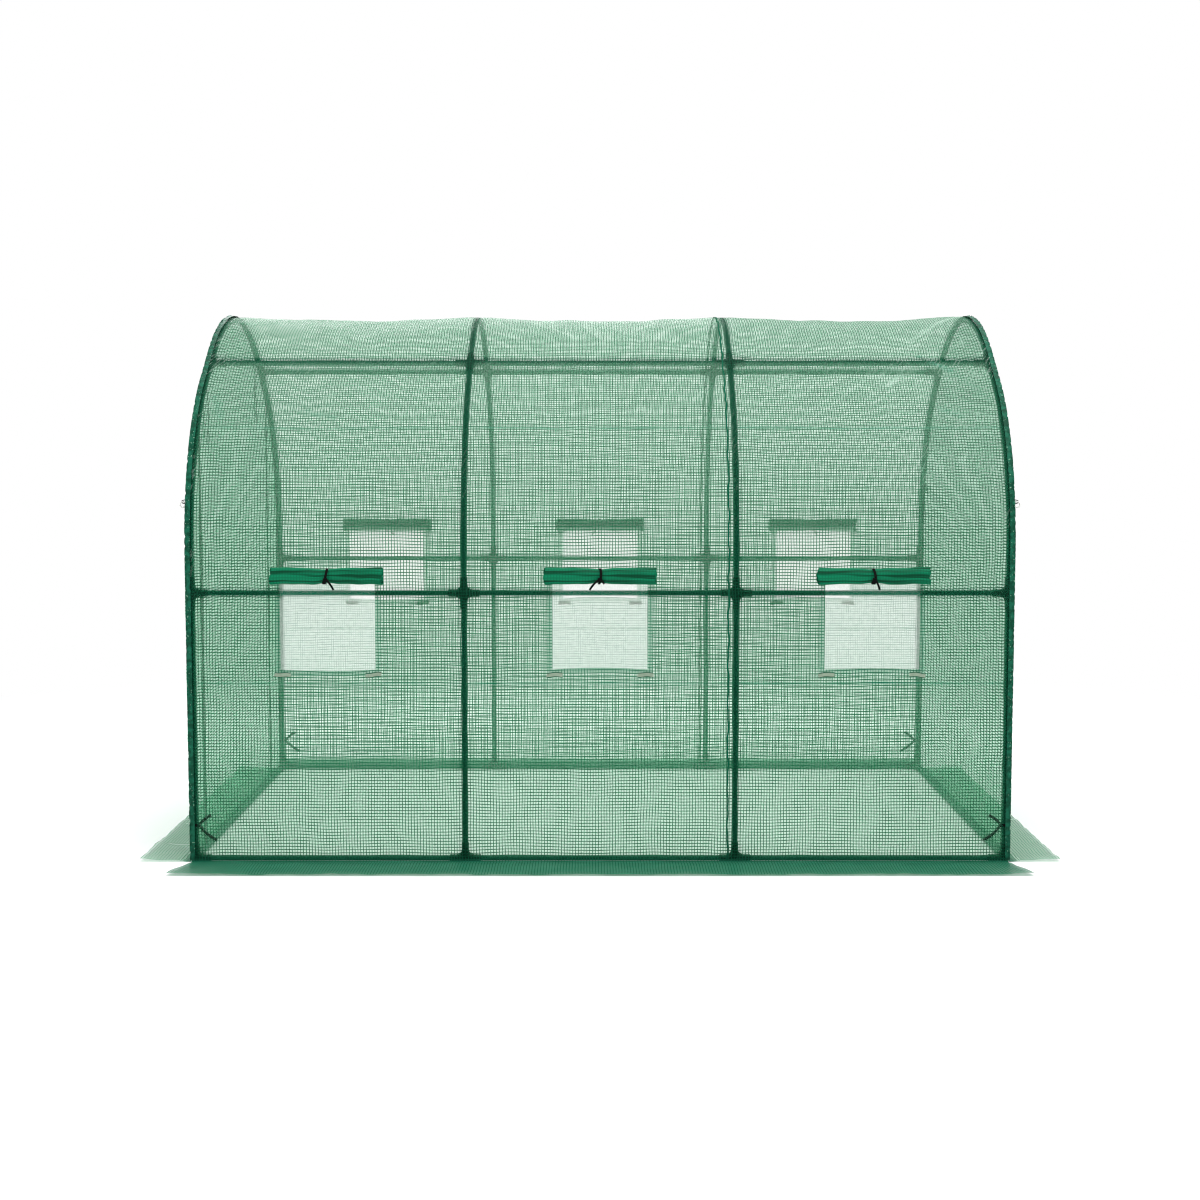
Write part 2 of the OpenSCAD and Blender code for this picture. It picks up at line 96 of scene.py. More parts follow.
# Windows: sizes and sills from the nets, the rolls' length from the rolls
NET_LAP = 0.012
net_low, net_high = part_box("right_window_nets")
WINDOW_W = 2 * (net_high.x - NET_LAP - WINDOW_XS[2])
WINDOW_H = net_high.z - net_low.z - 2 * NET_LAP
SILLS = {-1: net_low.z + NET_LAP, 1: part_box("left_window_nets")[0].z + NET_LAP}
ROLL_L = 2 * (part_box("right_window_rolls")[1].x - WINDOW_XS[2])
SIDE_NAMES = {-1: "right", 1: "left"}

# Zips of the door
ZIP_W = 0.032
CHAIN_W = 0.012
ZIP_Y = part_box("front_left_panel")[0].y - ZIP_W / 2
ZIP_TOP_Z = 1.64
ZIP_FACE_X = -END_X - FILM_INSET
DOOR_EDGE_Y = ZIP_Y - ZIP_W / 2
PANEL_EDGE_Y = ZIP_Y + ZIP_W / 2

# Hanging ties, the same points as the solids
DOOR_TIE_ROUTES = {
    "right_outer": [
        (-1.504, -0.612, 1.795), (-1.504, -0.612, 1.779), (-1.504, -0.613, 1.763), (-1.504, -0.613, 1.747),
        (-1.504, -0.614, 1.731), (-1.504, -0.616, 1.715), (-1.504, -0.618, 1.699), (-1.504, -0.619, 1.683),
        (-1.504, -0.620, 1.667), (-1.504, -0.621, 1.651), (-1.504, -0.621, 1.635), (-1.504, -0.620, 1.619),
        (-1.504, -0.619, 1.603), (-1.504, -0.619, 1.587), (-1.504, -0.618, 1.571), (-1.504, -0.618, 1.555),
    ],
    "right_inner": [
        (-1.494, -0.606, 1.765), (-1.494, -0.603, 1.749), (-1.494, -0.598, 1.733), (-1.494, -0.593, 1.717),
        (-1.494, -0.587, 1.701), (-1.494, -0.582, 1.685), (-1.494, -0.578, 1.669), (-1.494, -0.575, 1.653),
        (-1.494, -0.574, 1.637), (-1.494, -0.574, 1.621), (-1.494, -0.577, 1.605), (-1.494, -0.581, 1.589),
        (-1.494, -0.586, 1.573), (-1.494, -0.590, 1.557), (-1.494, -0.594, 1.541), (-1.494, -0.597, 1.525),
    ],
    "left_outer": [
        (-1.504, 0.484, 1.880), (-1.504, 0.484, 1.864), (-1.504, 0.485, 1.848), (-1.504, 0.485, 1.832),
        (-1.504, 0.486, 1.816), (-1.504, 0.487, 1.800), (-1.504, 0.487, 1.784), (-1.504, 0.486, 1.768),
        (-1.504, 0.485, 1.752), (-1.504, 0.484, 1.736), (-1.504, 0.482, 1.720), (-1.504, 0.481, 1.704),
        (-1.504, 0.480, 1.688), (-1.504, 0.479, 1.672), (-1.504, 0.478, 1.656), (-1.504, 0.478, 1.640),
    ],
    "left_inner": [
        (-1.494, 0.474, 1.850), (-1.494, 0.472, 1.834), (-1.494, 0.470, 1.818), (-1.494, 0.468, 1.802),
        (-1.494, 0.466, 1.786), (-1.494, 0.464, 1.770), (-1.494, 0.463, 1.754), (-1.494, 0.463, 1.738),
        (-1.494, 0.463, 1.722), (-1.494, 0.464, 1.706), (-1.494, 0.466, 1.690), (-1.494, 0.467, 1.674),
        (-1.494, 0.469, 1.658), (-1.494, 0.470, 1.642), (-1.494, 0.471, 1.626), (-1.494, 0.472, 1.610),
    ],
}
DOOR_TIE_W = 0.008
DOOR_TIE_T = 0.0016
KNOTTED_TIE = "right_outer"

# Pitches of the threads, across and along, and common values of the finishes
FILM_PITCHES = (0.0104, 0.0112)
NET_PITCHES = (0.0024, 0.0030)
WHITE = (1, 1, 1, 1)
PLAIN_SHINE = 0.5
SOFT_SHINE = 0.06


# Shader maths
def operators(operation):
    """An operator's method and its reflected form, which add a Math node."""
    return (
        lambda signal, other: signal.finish.math(operation, signal, other),
        lambda signal, other: signal.finish.math(operation, other, signal),
    )


class Signal:
    """A value in a material. Sums, differences and products of signals add Math nodes."""

    def __init__(self, finish, socket):
        self.finish = finish
        self.socket = socket

    __add__, __radd__ = operators("ADD")
    __sub__, __rsub__ = operators("SUBTRACT")
    __mul__, __rmul__ = operators("MULTIPLY")


class Finish:
    """One material, or the world, and the nodes that make it."""

    def __init__(self, name, kept_in=bpy.data.materials, output="ShaderNodeOutputMaterial"):
        self.block = kept_in.new(name)
        self.block.use_nodes = True
        self.tree = self.block.node_tree
        self.tree.nodes.clear()
        self.output = output

    def add(self, kind, settings, sockets, *outputs):
        """A node of this kind: settings first, then sockets. Gives its first output, or those named."""
        node = self.tree.nodes.new(kind)
        for name, value in settings.items():
            setattr(node, name, value)
        for name, value in sockets.items():
            if isinstance(value, Signal):
                self.tree.links.new(value.socket, node.inputs[name])
            else:
                node.inputs[name].default_value = value
        found = [Signal(self, node.outputs[name]) for name in outputs or range(len(node.outputs))]
        return found if outputs else (found or [None])[0]

    def math(self, operation, *values):
        return self.add("ShaderNodeMath", {"operation": operation}, dict(enumerate(values)))

    def vector(self, operation, *values, output="Vector"):
        return self.add("ShaderNodeVectorMath", {"operation": operation}, dict(enumerate(values)), output)[0]

    def smooth(self, value, low, high):
        """0 below low, 1 above high, and a smooth step between them."""
        sockets = {"Value": value, "From Min": low, "From Max": high}
        return self.add("ShaderNodeMapRange", {"interpolation_type": "SMOOTHSTEP"}, sockets)

    def blend(self, share, first, second):
        """A colour between two others."""
        sockets = {"Factor": share, 6: first, 7: second}
        return self.add("ShaderNodeMix", {"data_type": "RGBA"}, sockets, 2)[0]

    def mix(self, share, first, second):
        """A shader between two others."""
        return self.add("ShaderNodeMixShader", {}, {0: share, 1: first, 2: second})

    def noise(self, place, scale, detail=2.0, span="3D", output=0):
        sockets = {"Vector": place, "Scale": scale, "Detail": detail}
        return self.add("ShaderNodeTexNoise", {"noise_dimensions": span}, sockets, output)[0]

    def bump(self, height, strength, distance):
        return self.add("ShaderNodeBump", {}, {"Height": height, "Strength": strength, "Distance": distance})

    def mark(self, name):
        """A number that the mesh carries at each point."""
        return self.add("ShaderNodeAttribute", {"attribute_name": name}, {}, "Fac")[0]

    def place(self):
        return self.add("ShaderNodeTexCoord", {}, {}, "Object")[0]

    def weave(self):
        """Place on a flat sheet of cloth, in metres."""
        return self.add("ShaderNodeUVMap", {"uv_map": "weave"}, {})

    def threads(self, place, pitches, upright_edge, level_edge):
        """1 on the threads of a woven sheet and 0 between them. Each edge is a thread's fading side."""
        across, along = self.add("ShaderNodeSeparateXYZ", {}, {0: place}, "X", "Y")
        uprights = self.smooth(self.math("COSINE", across * (TAU / pitches[0])), *upright_edge)
        levels = self.smooth(self.math("COSINE", along * (TAU / pitches[1])), *level_edge)
        return 1 - (1 - uprights) * (1 - levels)

    def surface(self, base, rough, bump=None, shine=PLAIN_SHINE, metal=0.0):
        sockets = {"Base Color": base, "Roughness": rough, "Metallic": metal, "Specular IOR Level": shine}
        if bump:
            sockets["Normal"] = bump
        return self.add("ShaderNodeBsdfPrincipled", {}, sockets)

    def glow(self, colour):
        """Light that comes through from behind, spread out."""
        return self.add("ShaderNodeBsdfTranslucent", {}, {"Color": colour})

    def clear(self, colour):
        return self.add("ShaderNodeBsdfTransparent", {}, {"Color": colour})

    def in_sight(self):
        """1 for rays that show the backdrop: straight, in a reflection or through a clear piece."""
        kinds = "Is Camera Ray", "Is Glossy Ray", "Is Transmission Ray"
        straight, reflected, through = self.add("ShaderNodeLightPath", {}, {}, *kinds)
        return self.math("MAXIMUM", straight, self.math("MAXIMUM", reflected, through))

    def end(self, shader):
        self.add(self.output, {}, {"Surface": shader})
        return self.block


# Finishes
def film_finish():
    """Clear green film with a grid of dark threads.

    The mesh marks where it is creased and pale, doubled, lying on a tube with painted shade, or tinted, and
    where painted glints may go.
    """
    film = Finish("woven_film")
    weave = film.weave()
    drift = film.noise(weave, 4.0, 1.0, "2D", "Color")
    swayed = film.vector("MULTIPLY_ADD", drift, (0.011, 0.013, 0.0), weave)
    thread = film.threads(swayed, FILM_PITCHES, (0.55, 0.88), (0.48, 0.84))
    # Painted glints: thin slanting pale streaks in patches, painted into the film's colour where the mesh
    # marks gloss
    slant = film.add("ShaderNodeVectorRotate", {"rotation_type": "Z_AXIS"}, {"Vector": weave, "Angle": 0.45})
    narrow = film.vector("MULTIPLY", slant, (130.0, 15.0, 1.0))
    glints = film.smooth(film.noise(narrow, 1.0, 2.0, "2D"), 0.55, 0.64)
    patches = film.smooth(film.noise(weave, 6.5, 0.0, "2D"), 0.42, 0.56)
    crease = film.math("MINIMUM", film.mark("crease") + film.mark("gloss") * glints * patches, 1.0)
    dense = film.mark("dense")
    contact = film.mark("contact")
    tint = film.mark("tint")
    strength = 0.94 + 0.06 * film.noise(weave, 45.0, 0.0, "2D")
    milk = (0.20 + 0.09 * film.noise(weave, 2.1, 0.0, "2D") + 0.12 * tint) * (1 - 0.95 * contact)
    cover = 1 - (1 - strength * thread) * (1 - milk) * (1 - 0.85 * dense) * (1 - 0.55 * crease)
    one_layer = film.blend(thread * (1 - 0.4 * dense), (0.28, 0.66, 0.44, 1), (0.004, 0.068, 0.031, 1))
    two_layers = film.blend(thread, (0.035, 0.360, 0.215, 1), (0.003, 0.105, 0.055, 1))
    layered = film.blend(film.math("MINIMUM", 1.6 * dense, 1.0), one_layer, two_layers)
    # Film over a tube or fitting painted dark green: painted shade of the tube. It also loses its milky haze
    # there
    tube_shaded_colour = film.blend(contact, layered, (0.003, 0.072, 0.037, 1))
    # Pale creases, folds and glints: partly wear of the film, partly painted highlight
    wear_and_highlight = film.blend(crease, tube_shaded_colour, (0.72, 0.88, 0.78, 1))
    solid = film.surface(wear_and_highlight, 0.26 + 0.4 * contact, shine=SOFT_SHINE)
    film_glow = film.mix(tint, film.glow((0.70, 0.98, 0.79, 1)), film.glow((0.13, 0.74, 0.38, 1)))
    # The glow is painted darker on threads, doubled film and over tubes: painted shade
    shaded = film.math("MINIMUM", thread + dense + contact, 1.0)
    glow = film.mix(shaded, film_glow, film.glow((0.026, 0.165, 0.085, 1)))
    lit = film.mix(0.78 - 0.36 * dense - 0.36 * crease, solid, glow)
    return film.end(film.mix(cover, film.clear((0.965, 0.99, 0.975, 1)), lit))


def rolled_finish():
    """Film in many layers, so a full green, with dark lines of painted shade where the layers fold."""
    roll = Finish("rolled_film")
    weave = roll.weave()
    thread = roll.threads(weave, FILM_PITCHES, (0.2, 0.8), (0.2, 0.8))
    streaks = roll.noise(roll.vector("MULTIPLY", weave, (3.0, 75.0, 1.0)), 1.0, 3.0)
    folds = roll.smooth(streaks, 0.42, 0.66)
    # Painted shade in the folds of the roll
    shade = roll.blend(folds, (0.003, 0.185, 0.085, 1), (0.001, 0.050, 0.022, 1))
    base = roll.blend(0.30 * thread, shade, (0.001, 0.028, 0.014, 1))
    bump = roll.bump(thread + folds, 0.35, 0.001)
    return roll.end(roll.surface(base, 0.34, bump, SOFT_SHINE))


def net_finish():
    """Fine white insect net."""
    net = Finish("insect_net")
    weave = net.weave()
    thread = net.threads(weave, NET_PITCHES, (-0.2, 0.7), (-0.2, 0.7))
    uneven = net.noise(weave, 60.0, 1.0, "2D")
    # The net is thinned where the mid rail lies behind it, so the dark rail shows through: painted shade
    cover = (0.16 + (0.26 + 0.20 * uneven) * thread) * (1 - 0.93 * net.mark("contact"))
    base = net.blend(uneven, (0.80, 0.86, 0.82, 1), (0.92, 0.94, 0.92, 1))
    solid = net.surface(base, 0.6, net.bump(thread, 0.3, 0.0005))
    lit = net.mix(0.62, solid, net.glow((1.0, 0.95, 0.95, 1)))
    return net.end(net.mix(cover, net.clear(WHITE), lit))


def mottled_finish(name, dark, pale, mottle, rough, grain, shine=PLAIN_SHINE):
    """A coat mottled between two colours, unevenly rough, with a fine grain.

    mottle is its noise's scale and detail. rough is the least roughness, the most that noise adds to it and
    that noise's scale. grain is its noise's scale and detail, then the bump's strength and depth.
    """
    coat = Finish(name)
    place = coat.place()
    base = coat.blend(coat.noise(place, *mottle), dark, pale)
    least, most_added, rough_scale = rough
    scale, detail, strength, depth = grain
    bump = coat.bump(coat.noise(place, scale, detail), strength, depth)
    return coat.end(coat.surface(base, least + most_added * coat.noise(place, rough_scale), bump, shine))


def tube_finish():
    """Dark green powder coat, slightly mottled, with a fine orange-peel."""
    dark, pale = (0.006, 0.105, 0.056, 1), (0.010, 0.145, 0.080, 1)
    grain = (700.0, 2.0, 0.12, 0.0006)
    return mottled_finish("tube_coat", dark, pale, (9.0, 4.0), (0.30, 0.16, 30.0), grain, SOFT_SHINE)


def fitting_finish():
    """Dark green moulded plastic with a fine grain."""
    dark, pale = (0.003, 0.045, 0.022, 1), (0.005, 0.070, 0.036, 1)
    grain = (1400.0, 4.0, 0.22, 0.0005)
    return mottled_finish("fitting_plastic", dark, pale, (22.0, 2.0), (0.44, 0.18, 55.0), grain, 0.12)


def tab_finish():
    """Grey hook-and-loop tape: fine loops and a rubbed patch."""
    dark, pale = (0.17, 0.24, 0.17, 1), (0.29, 0.37, 0.28, 1)
    grain = (900.0, 2.0, 0.6, 0.0008)
    return mottled_finish("grip_tab", dark, pale, (60.0, 2.0), (0.85, -0.15, 900.0), grain)


def ring_finish():
    """White moulded plastic with a faint yellow cast in places."""
    dark, pale = (0.84, 0.84, 0.80, 1), (0.90, 0.90, 0.88, 1)
    grain = (500.0, 2.0, 0.1, 0.0004)
    return mottled_finish("ring_plastic", dark, pale, (40.0, 2.0), (0.22, 0.1, 90.0), grain)


def tape_finish(name, dark, pale, pitch):
    """Woven tape: slanting ribs and a few pale fibres."""
    tape = Finish(name)
    place = tape.place()
    x, y, z = tape.add("ShaderNodeSeparateXYZ", {}, {0: place}, "X", "Y", "Z")
    ribs = tape.smooth(tape.math("SINE", (x + y + z) * (TAU / pitch)), -0.4, 0.9)
    fibres = tape.noise(place, 420.0, 3.0)
    base = tape.blend(0.7 * ribs * fibres, dark, pale)
    bump = tape.bump(ribs + 0.5 * fibres, 0.5, 0.0006)
    return tape.end(tape.surface(base, 0.72 + 0.2 * fibres, bump, SOFT_SHINE))


def gathered_finish():
    """Film edge in gathers: painted shade in its folds, painted light on its ridges and a few painted glints.
    """
    edge = Finish("gathered_edge")
    place = edge.place()
    folds = edge.smooth(edge.noise(place, 48.0, 3.0), 0.38, 0.64)
    glints = edge.smooth(edge.noise(place, 130.0, 2.0), 0.64, 0.72)
    # Painted shade in the folds, and painted glints
    shade = edge.blend(folds, (0.003, 0.052, 0.027, 1), (0.008, 0.110, 0.062, 1))
    base = edge.blend(0.40 * glints, shade, (0.45, 0.78, 0.56, 1))
    bump = edge.bump(folds + glints, 0.5, 0.0012)
    return edge.end(edge.surface(base, 0.42 - 0.14 * glints, bump, 0.08))


def slider_finish():
    """Black-lacquered slider metal, rubbed along its edges."""
    metal = Finish("slider_lacquer")
    wear = metal.smooth(metal.noise(metal.place(), 160.0, 4.0), 0.55, 0.75)
    base = metal.blend(wear, (0.012, 0.014, 0.013, 1), (0.09, 0.10, 0.095, 1))
    return metal.end(metal.surface(base, 0.32 + 0.2 * wear, metal=0.4 * wear))


film = film_finish()
rolled_film = rolled_finish()
insect_net = net_finish()
tube_coat = tube_finish()
fitting_plastic = fitting_finish()
black_tape = tape_finish("black_tape", (0.003, 0.004, 0.0035, 1), (0.012, 0.014, 0.013, 1), 0.0022)
zip_tape = tape_finish("zip_tape", (0.003, 0.052, 0.024, 1), (0.008, 0.095, 0.048, 1), 0.0020)
zip_teeth = tape_finish("zip_teeth", (0.002, 0.012, 0.007, 1), (0.006, 0.036, 0.020, 1), 0.0040)
edge_binding = tape_finish("edge_binding", (0.004, 0.075, 0.038, 1), (0.012, 0.135, 0.072, 1), 0.0060)
gathered_edge = gathered_finish()
grip_tab = tab_finish()
ring_plastic = ring_finish()
slider_lacquer = slider_finish()


# Meshes
def put(mesh, material, slot, *replaced):
    """Puts a mesh in the scene as a piece of the tunnel."""
    piece = bpy.data.objects.new(mesh.name, mesh)
    bpy.context.scene.collection.objects.link(piece)
    mesh.materials.append(material)
    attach(piece, "root")
    if replaced:
        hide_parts(*replaced)
    return piece


def points(*axes):
    """Points from their coordinates along each axis, which are numbers or arrays."""
    return np.stack(np.broadcast_arrays(*axes), axis=-1)


def cloth_mesh(name, places, weave, marks, keep=None):
    """A sheet from a grid of places. weave is its UV map in metres, marks are numbers at its points."""
    rows, columns = places.shape[:2]
    index = np.arange(rows * columns).reshape(rows, columns)
    quads = points(index[:-1, :-1], index[:-1, 1:], index[1:, 1:], index[1:, :-1])
    quads = quads[keep] if keep is not None else quads.reshape(-1, 4)
    used, quads = np.unique(quads, return_inverse=True)
    quads = quads.reshape(-1, 4)
    mesh = bpy.data.meshes.new(name)
    mesh.from_pydata(places.reshape(-1, 3)[used].tolist(), [], quads.tolist())
    uv = mesh.uv_layers.new(name="weave")
    uv.data.foreach_set("uv", weave.reshape(-1, 2)[used][quads].ravel())
    for mark, values in marks.items():
        mesh.attributes.new(mark, "FLOAT", "POINT").data.foreach_set("value", values.ravel()[used])
    mesh.shade_smooth()
    return mesh


class Shape:
    """Points and faces of a piece that is built up from several solids."""

    def __init__(self):
        self.points = []
        self.faces = []

    def sweep(self, path, side, outline, closed=False):
        """Carries an outline along a path. The outline's first axis points along side."""
        path = np.array(path, float)
        if closed:
            tangent = np.roll(path, -1, axis=0) - np.roll(path, 1, axis=0)
        else:
            tangent = np.gradient(path, axis=0)
        tangent = tangent / np.linalg.norm(tangent, axis=1, keepdims=True)
        side = np.broadcast_to(np.array(side, float), path.shape)
        side = side - (side * tangent).sum(1, keepdims=True) * tangent
        side = side / np.linalg.norm(side, axis=1, keepdims=True)
        up = np.cross(tangent, side)
        outline = np.array(outline, float)
        rings = path[:, None] + outline[None, :, :1] * side[:, None] + outline[None, :, 1:] * up[:, None]
        count, corners = rings.shape[:2]
        start = len(self.points)
        for i in range(count if closed else count - 1):
            this, following = start + i * corners, start + (i + 1) % count * corners
            for k in range(corners):
                beside = (k + 1) % corners
                self.faces.append((this + k, this + beside, following + beside, following + k))
        if not closed:
            last = start + (count - 1) * corners
            self.faces.append(tuple(reversed(range(start, start + corners))))
            self.faces.append(tuple(range(last, last + corners)))
        self.points.extend(rings.reshape(-1, 3).tolist())

    def knot(self, centre, across, up, size, cord_d):
        """A cord wound into a small knot, facing along across x up."""
        turn = np.linspace(0, TAU, 40, endpoint=False)[:, None]
        across, up = np.array(across, float), np.array(up, float)
        out = np.cross(across, up)
        flat = across * (np.sin(turn) + 2 * np.sin(2 * turn)) + up * (np.cos(turn) - 2 * np.cos(2 * turn))
        path = np.array(centre) + (flat - out * np.sin(3 * turn)) * size / 6
        self.sweep(path, out, rod(cord_d), closed=True)

    def put(self, name, material, slot, *replaced):
        """Makes the mesh and puts it in the scene."""
        mesh = bpy.data.meshes.new(name)
        mesh.from_pydata(self.points, [], self.faces)
        mesh.shade_smooth()
        mesh.set_sharp_from_angle(angle=math.radians(40))
        return put(mesh, material, slot, *replaced)


def strip(width, thickness):
    """Outline of a flat strip."""
    w, t = width / 2, thickness / 2
    return [(-w, -t), (w, -t), (w, t), (-w, t)]


def rod(diameter, sides=8):
    """Outline of a round cord or bar."""
    turns = [TAU * k / sides for k in range(sides)]
    return [(diameter / 2 * math.cos(turn), diameter / 2 * math.sin(turn)) for turn in turns]


def steps(breaks, pitch):
    """Even steps, no longer than pitch, between each two breaks."""
    breaks = sorted(set(round(b, 6) for b in breaks))
    runs = []
    for start, end in zip(breaks, breaks[1:]):
        count = max(2, math.ceil((end - start) / pitch) + 1)
        runs.append(np.linspace(start, end, count)[:-1])
    return np.concatenate(runs + [breaks[-1:]])


def ease(value, low, high):
    """0 below low, 1 above high, and a smooth step between them."""
    share = np.clip((value - low) / (high - low), 0, 1)
    return share * share * (3 - 2 * share)


def bell(value, reach, power=2):
    """1 at zero, falling off on both sides. A higher power has a flatter top."""
    return np.exp(-((value / reach) ** power))


def hump(value, start, end):
    """Half a wave: 0 at both ends and 1 in the middle."""
    return np.sin(math.pi * np.clip((value - start) / (end - start), 0, 1))


def nearest(value, lines):
    """Distance from the nearest of some lines."""
    return np.min([np.abs(value - line) for line in lines], axis=0)


def ripples(u, v, seed, count, shortest, longest):
    """Smooth waves between about -1 and 1, in seeded directions."""
    draw = np.random.default_rng(seed)
    total = np.zeros_like(u)
    for _ in range(count):
        turn = draw.uniform(0, math.pi)
        length = math.exp(draw.uniform(math.log(shortest), math.log(longest)))
        way = u * math.cos(turn) + v * math.sin(turn)
        total += np.sin(way * TAU / length + draw.uniform(0, TAU))
    return total / math.sqrt(2 * count)


def creases(u, v, seed, count, u_span, v_span, reach, width):
    """Short straight ridges at seeded places: their height from -1 to 1, and how pale each point is, partly
    wear and partly painted highlight.
    """
    draw = np.random.default_rng(seed)
    rise = np.zeros_like(u)
    wear_and_highlight = np.zeros_like(u)
    for _ in range(count):
        du, dv = u - draw.uniform(*u_span), v - draw.uniform(*v_span)
        turn = draw.uniform(0, math.pi)
        along = du * math.cos(turn) + dv * math.sin(turn)
        across = dv * math.cos(turn) - du * math.sin(turn)
        ridge = bell(across, width) * bell(along, draw.uniform(*reach))
        rise += draw.choice([-1.0, 1.0]) * ridge
        wear_and_highlight = np.maximum(wear_and_highlight, draw.uniform(0.2, 1.0) * ridge)
    return rise, wear_and_highlight


# Film over the hoops
def section(s):
    """Places across the tunnel at distances from the crown along the film, and their tilt from level."""
    far = np.abs(s)
    crown = far / CROWN_R
    slope = far - CROWN_END
    shoulder = ROOF_TURN + (far - SLOPE_END) / SHOULDER_R
    fold = (far - WALL_END) / FOLD_R
    upto = [far <= end for end in STRETCH_ENDS[:-1]]
    y = np.select(upto, [
        CROWN_R * np.sin(crown),
        CROWN_Y + slope * math.cos(ROOF_TURN),
        SHOULDER_Y + SHOULDER_R * np.sin(shoulder),
        np.full_like(far, WALL_Y),
        WALL_Y + FOLD_R * (1 - np.cos(fold)),
    ], WALL_Y + FOLD_R + far - FOLD_END)
    z = np.select(upto, [
        CROWN_Z + CROWN_R * np.cos(crown),
        CROWN_Z + CROWN_R * math.sin(TURN) - slope * math.sin(ROOF_TURN),
        POST_H + SHOULDER_R * np.cos(shoulder),
        POST_H + SHOULDER_END - far,
        FOLD_R * (1 - np.sin(fold)),
    ], 0.0)
    tilt = np.select(upto, [crown, ROOF_TURN, shoulder, math.pi / 2, math.pi / 2 - fold], 0.0)
    return np.where(s < 0, -y, y), z + GROUND_LIFT, np.where(s < 0, -tilt, tilt)


def height_to_s(z):
    """Distance from the crown along the film to a height on a wall or shoulder."""
    if z <= POST_H:
        return SHOULDER_END + POST_H - z
    return SLOPE_END + SHOULDER_R * (math.acos((z - POST_H) / SHOULDER_R) - ROOF_TURN)


# Lines on the cover, and how far its film sags, stands off and spreads
MID_RAIL_S = height_to_s(MID_RAIL_Z)
UPPER_FOLD_S = height_to_s(1.59)
LOWER_FOLD_S = height_to_s(0.66)
FOLD_LINES = [side * line for side in (-1, 1) for line in (UPPER_FOLD_S, LOWER_FOLD_S)]
CREASE_W = 0.007
HEM_W = 0.016
WINDOW_HEMS = (0, HEM_W, HEM_W + 0.004)
SILL_BOWS = (-0.005, 0.007, 0.004)
SILL_REACH = 0.045
TUBE_REACH = 0.03
TUBE_DIP = 0.0042
TUBE_SHADE = 0.014
FITTING_SHADE = 0.006
FITTING_REACH = 0.05
PURLIN_SHADE_SHIFT = 0.009
PURLIN_SHADE_SHARE = 0.72
SHADE_STEPS = (-0.030, -0.020, -0.013, -0.0065, 0.0, 0.0065, 0.013, 0.020, 0.030)
ROOF_SAG = 0.020
SHOULDER_SAG = 0.008
SKIRT_FLARE = 0.045
SKIRT_FLARE_L = 0.22
SKIRT_CURL = 0.004
SKIRT_CURL_L = 0.16
NEAR_PITCH = 0.0150
FAR_PITCH = 0.0240
COLUMN_PITCH = 0.0185
CRUMPLED_COLUMNS = np.arange(1.02, 1.46, 0.010)

# Long folds of the roof film: two ends, each at x and at a share of the way down from the ridge (0) past
# the purlin (1) to the upper fold line (2), then width, paleness (partly wear, partly painted highlight) and
# painted shade
ROOF_FOLDS = [
    ((1.48, 0.08), (1.34, 0.40), 0.015, 0.60, 0.0),
    ((1.35, 0.40), (1.20, 0.78), 0.016, 0.38, 0.0),
    ((1.44, 0.05), (1.28, 0.22), 0.014, 0.36, 0.0),
    ((1.22, 0.98), (1.33, 1.22), 0.013, 0.0, 0.75),
    ((1.33, 1.24), (1.45, 1.68), 0.012, 0.10, 0.22),
    ((1.08, 1.46), (1.12, 1.32), 0.014, 0.55, 0.0),
    ((1.12, 1.32), (1.20, 1.20), 0.015, 0.30, 0.0),
    ((1.26, 1.78), (1.34, 1.86), 0.010, 0.0, 0.50),
    ((0.78, 0.46), (1.02, 0.30), 0.013, 0.26, 0.0),
    ((0.62, 1.55), (0.72, 1.25), 0.015, 0.22, 0.0),
    ((-1.45, 0.40), (-1.37, 0.44), 0.012, 0.0, 0.45),
    ((-1.30, 0.10), (-1.02, 0.14), 0.012, 0.24, 0.0),
    ((-1.44, 1.62), (-1.40, 1.88), 0.011, 0.0, 0.50),
    ((-1.10, 1.80), (-0.98, 1.88), 0.010, 0.0, 0.45),
    ((0.40, 0.72), (0.58, 1.05), 0.013, 0.26, 0.0),
]
FOLD_RISE = 0.004


def roof_folds(x, s):
    """Height of the roof's long folds, their paleness, partly wear and partly painted highlight, and their
    painted shade.
    """
    rise, pale, shade = np.zeros_like(x), np.zeros_like(x), np.zeros_like(x)
    levels = [0.0, -PURLIN_S, -UPPER_FOLD_S]
    for start, end, width, pale_share, shade_share in ROOF_FOLDS:
        x0, s0 = start[0], np.interp(start[1], [0, 1, 2], levels)
        dx, ds = end[0] - x0, np.interp(end[1], [0, 1, 2], levels) - s0
        share = np.clip(((x - x0) * dx + (s - s0) * ds) / (dx * dx + ds * ds), 0, 1)
        ridge = bell(np.hypot(x - x0 - share * dx, s - s0 - share * ds), width)
        rise = np.maximum(rise, ridge)
        pale = np.maximum(pale, pale_share * ridge)
        shade = np.maximum(shade, shade_share * ridge)
    return FOLD_RISE * rise, pale, shade


def window_distance(x, s):
    """Distance from the nearest window, negative inside it."""
    across = nearest(x, WINDOW_XS) - WINDOW_W / 2
    middles = [side * height_to_s(sill + WINDOW_H / 2) for side, sill in SILLS.items()]
    return np.maximum(across, nearest(s, middles) - WINDOW_H / 2)


def tube_contact(x, far):
    """1 where the film lies on a tube, 0 away from it and where a fitting holds it off."""
    hoop_gap = nearest(x, HOOP_XS)
    rail_gap = nearest(far, (PURLIN_S, MID_RAIL_S, WALL_END))
    on_hoop = bell(hoop_gap, TUBE_REACH) * ease(rail_gap, FITTING_REACH, 2 * FITTING_REACH)
    on_rail = bell(rail_gap, TUBE_REACH) * ease(hoop_gap, FITTING_REACH, 2 * FITTING_REACH)
    return np.maximum(on_hoop, on_rail)


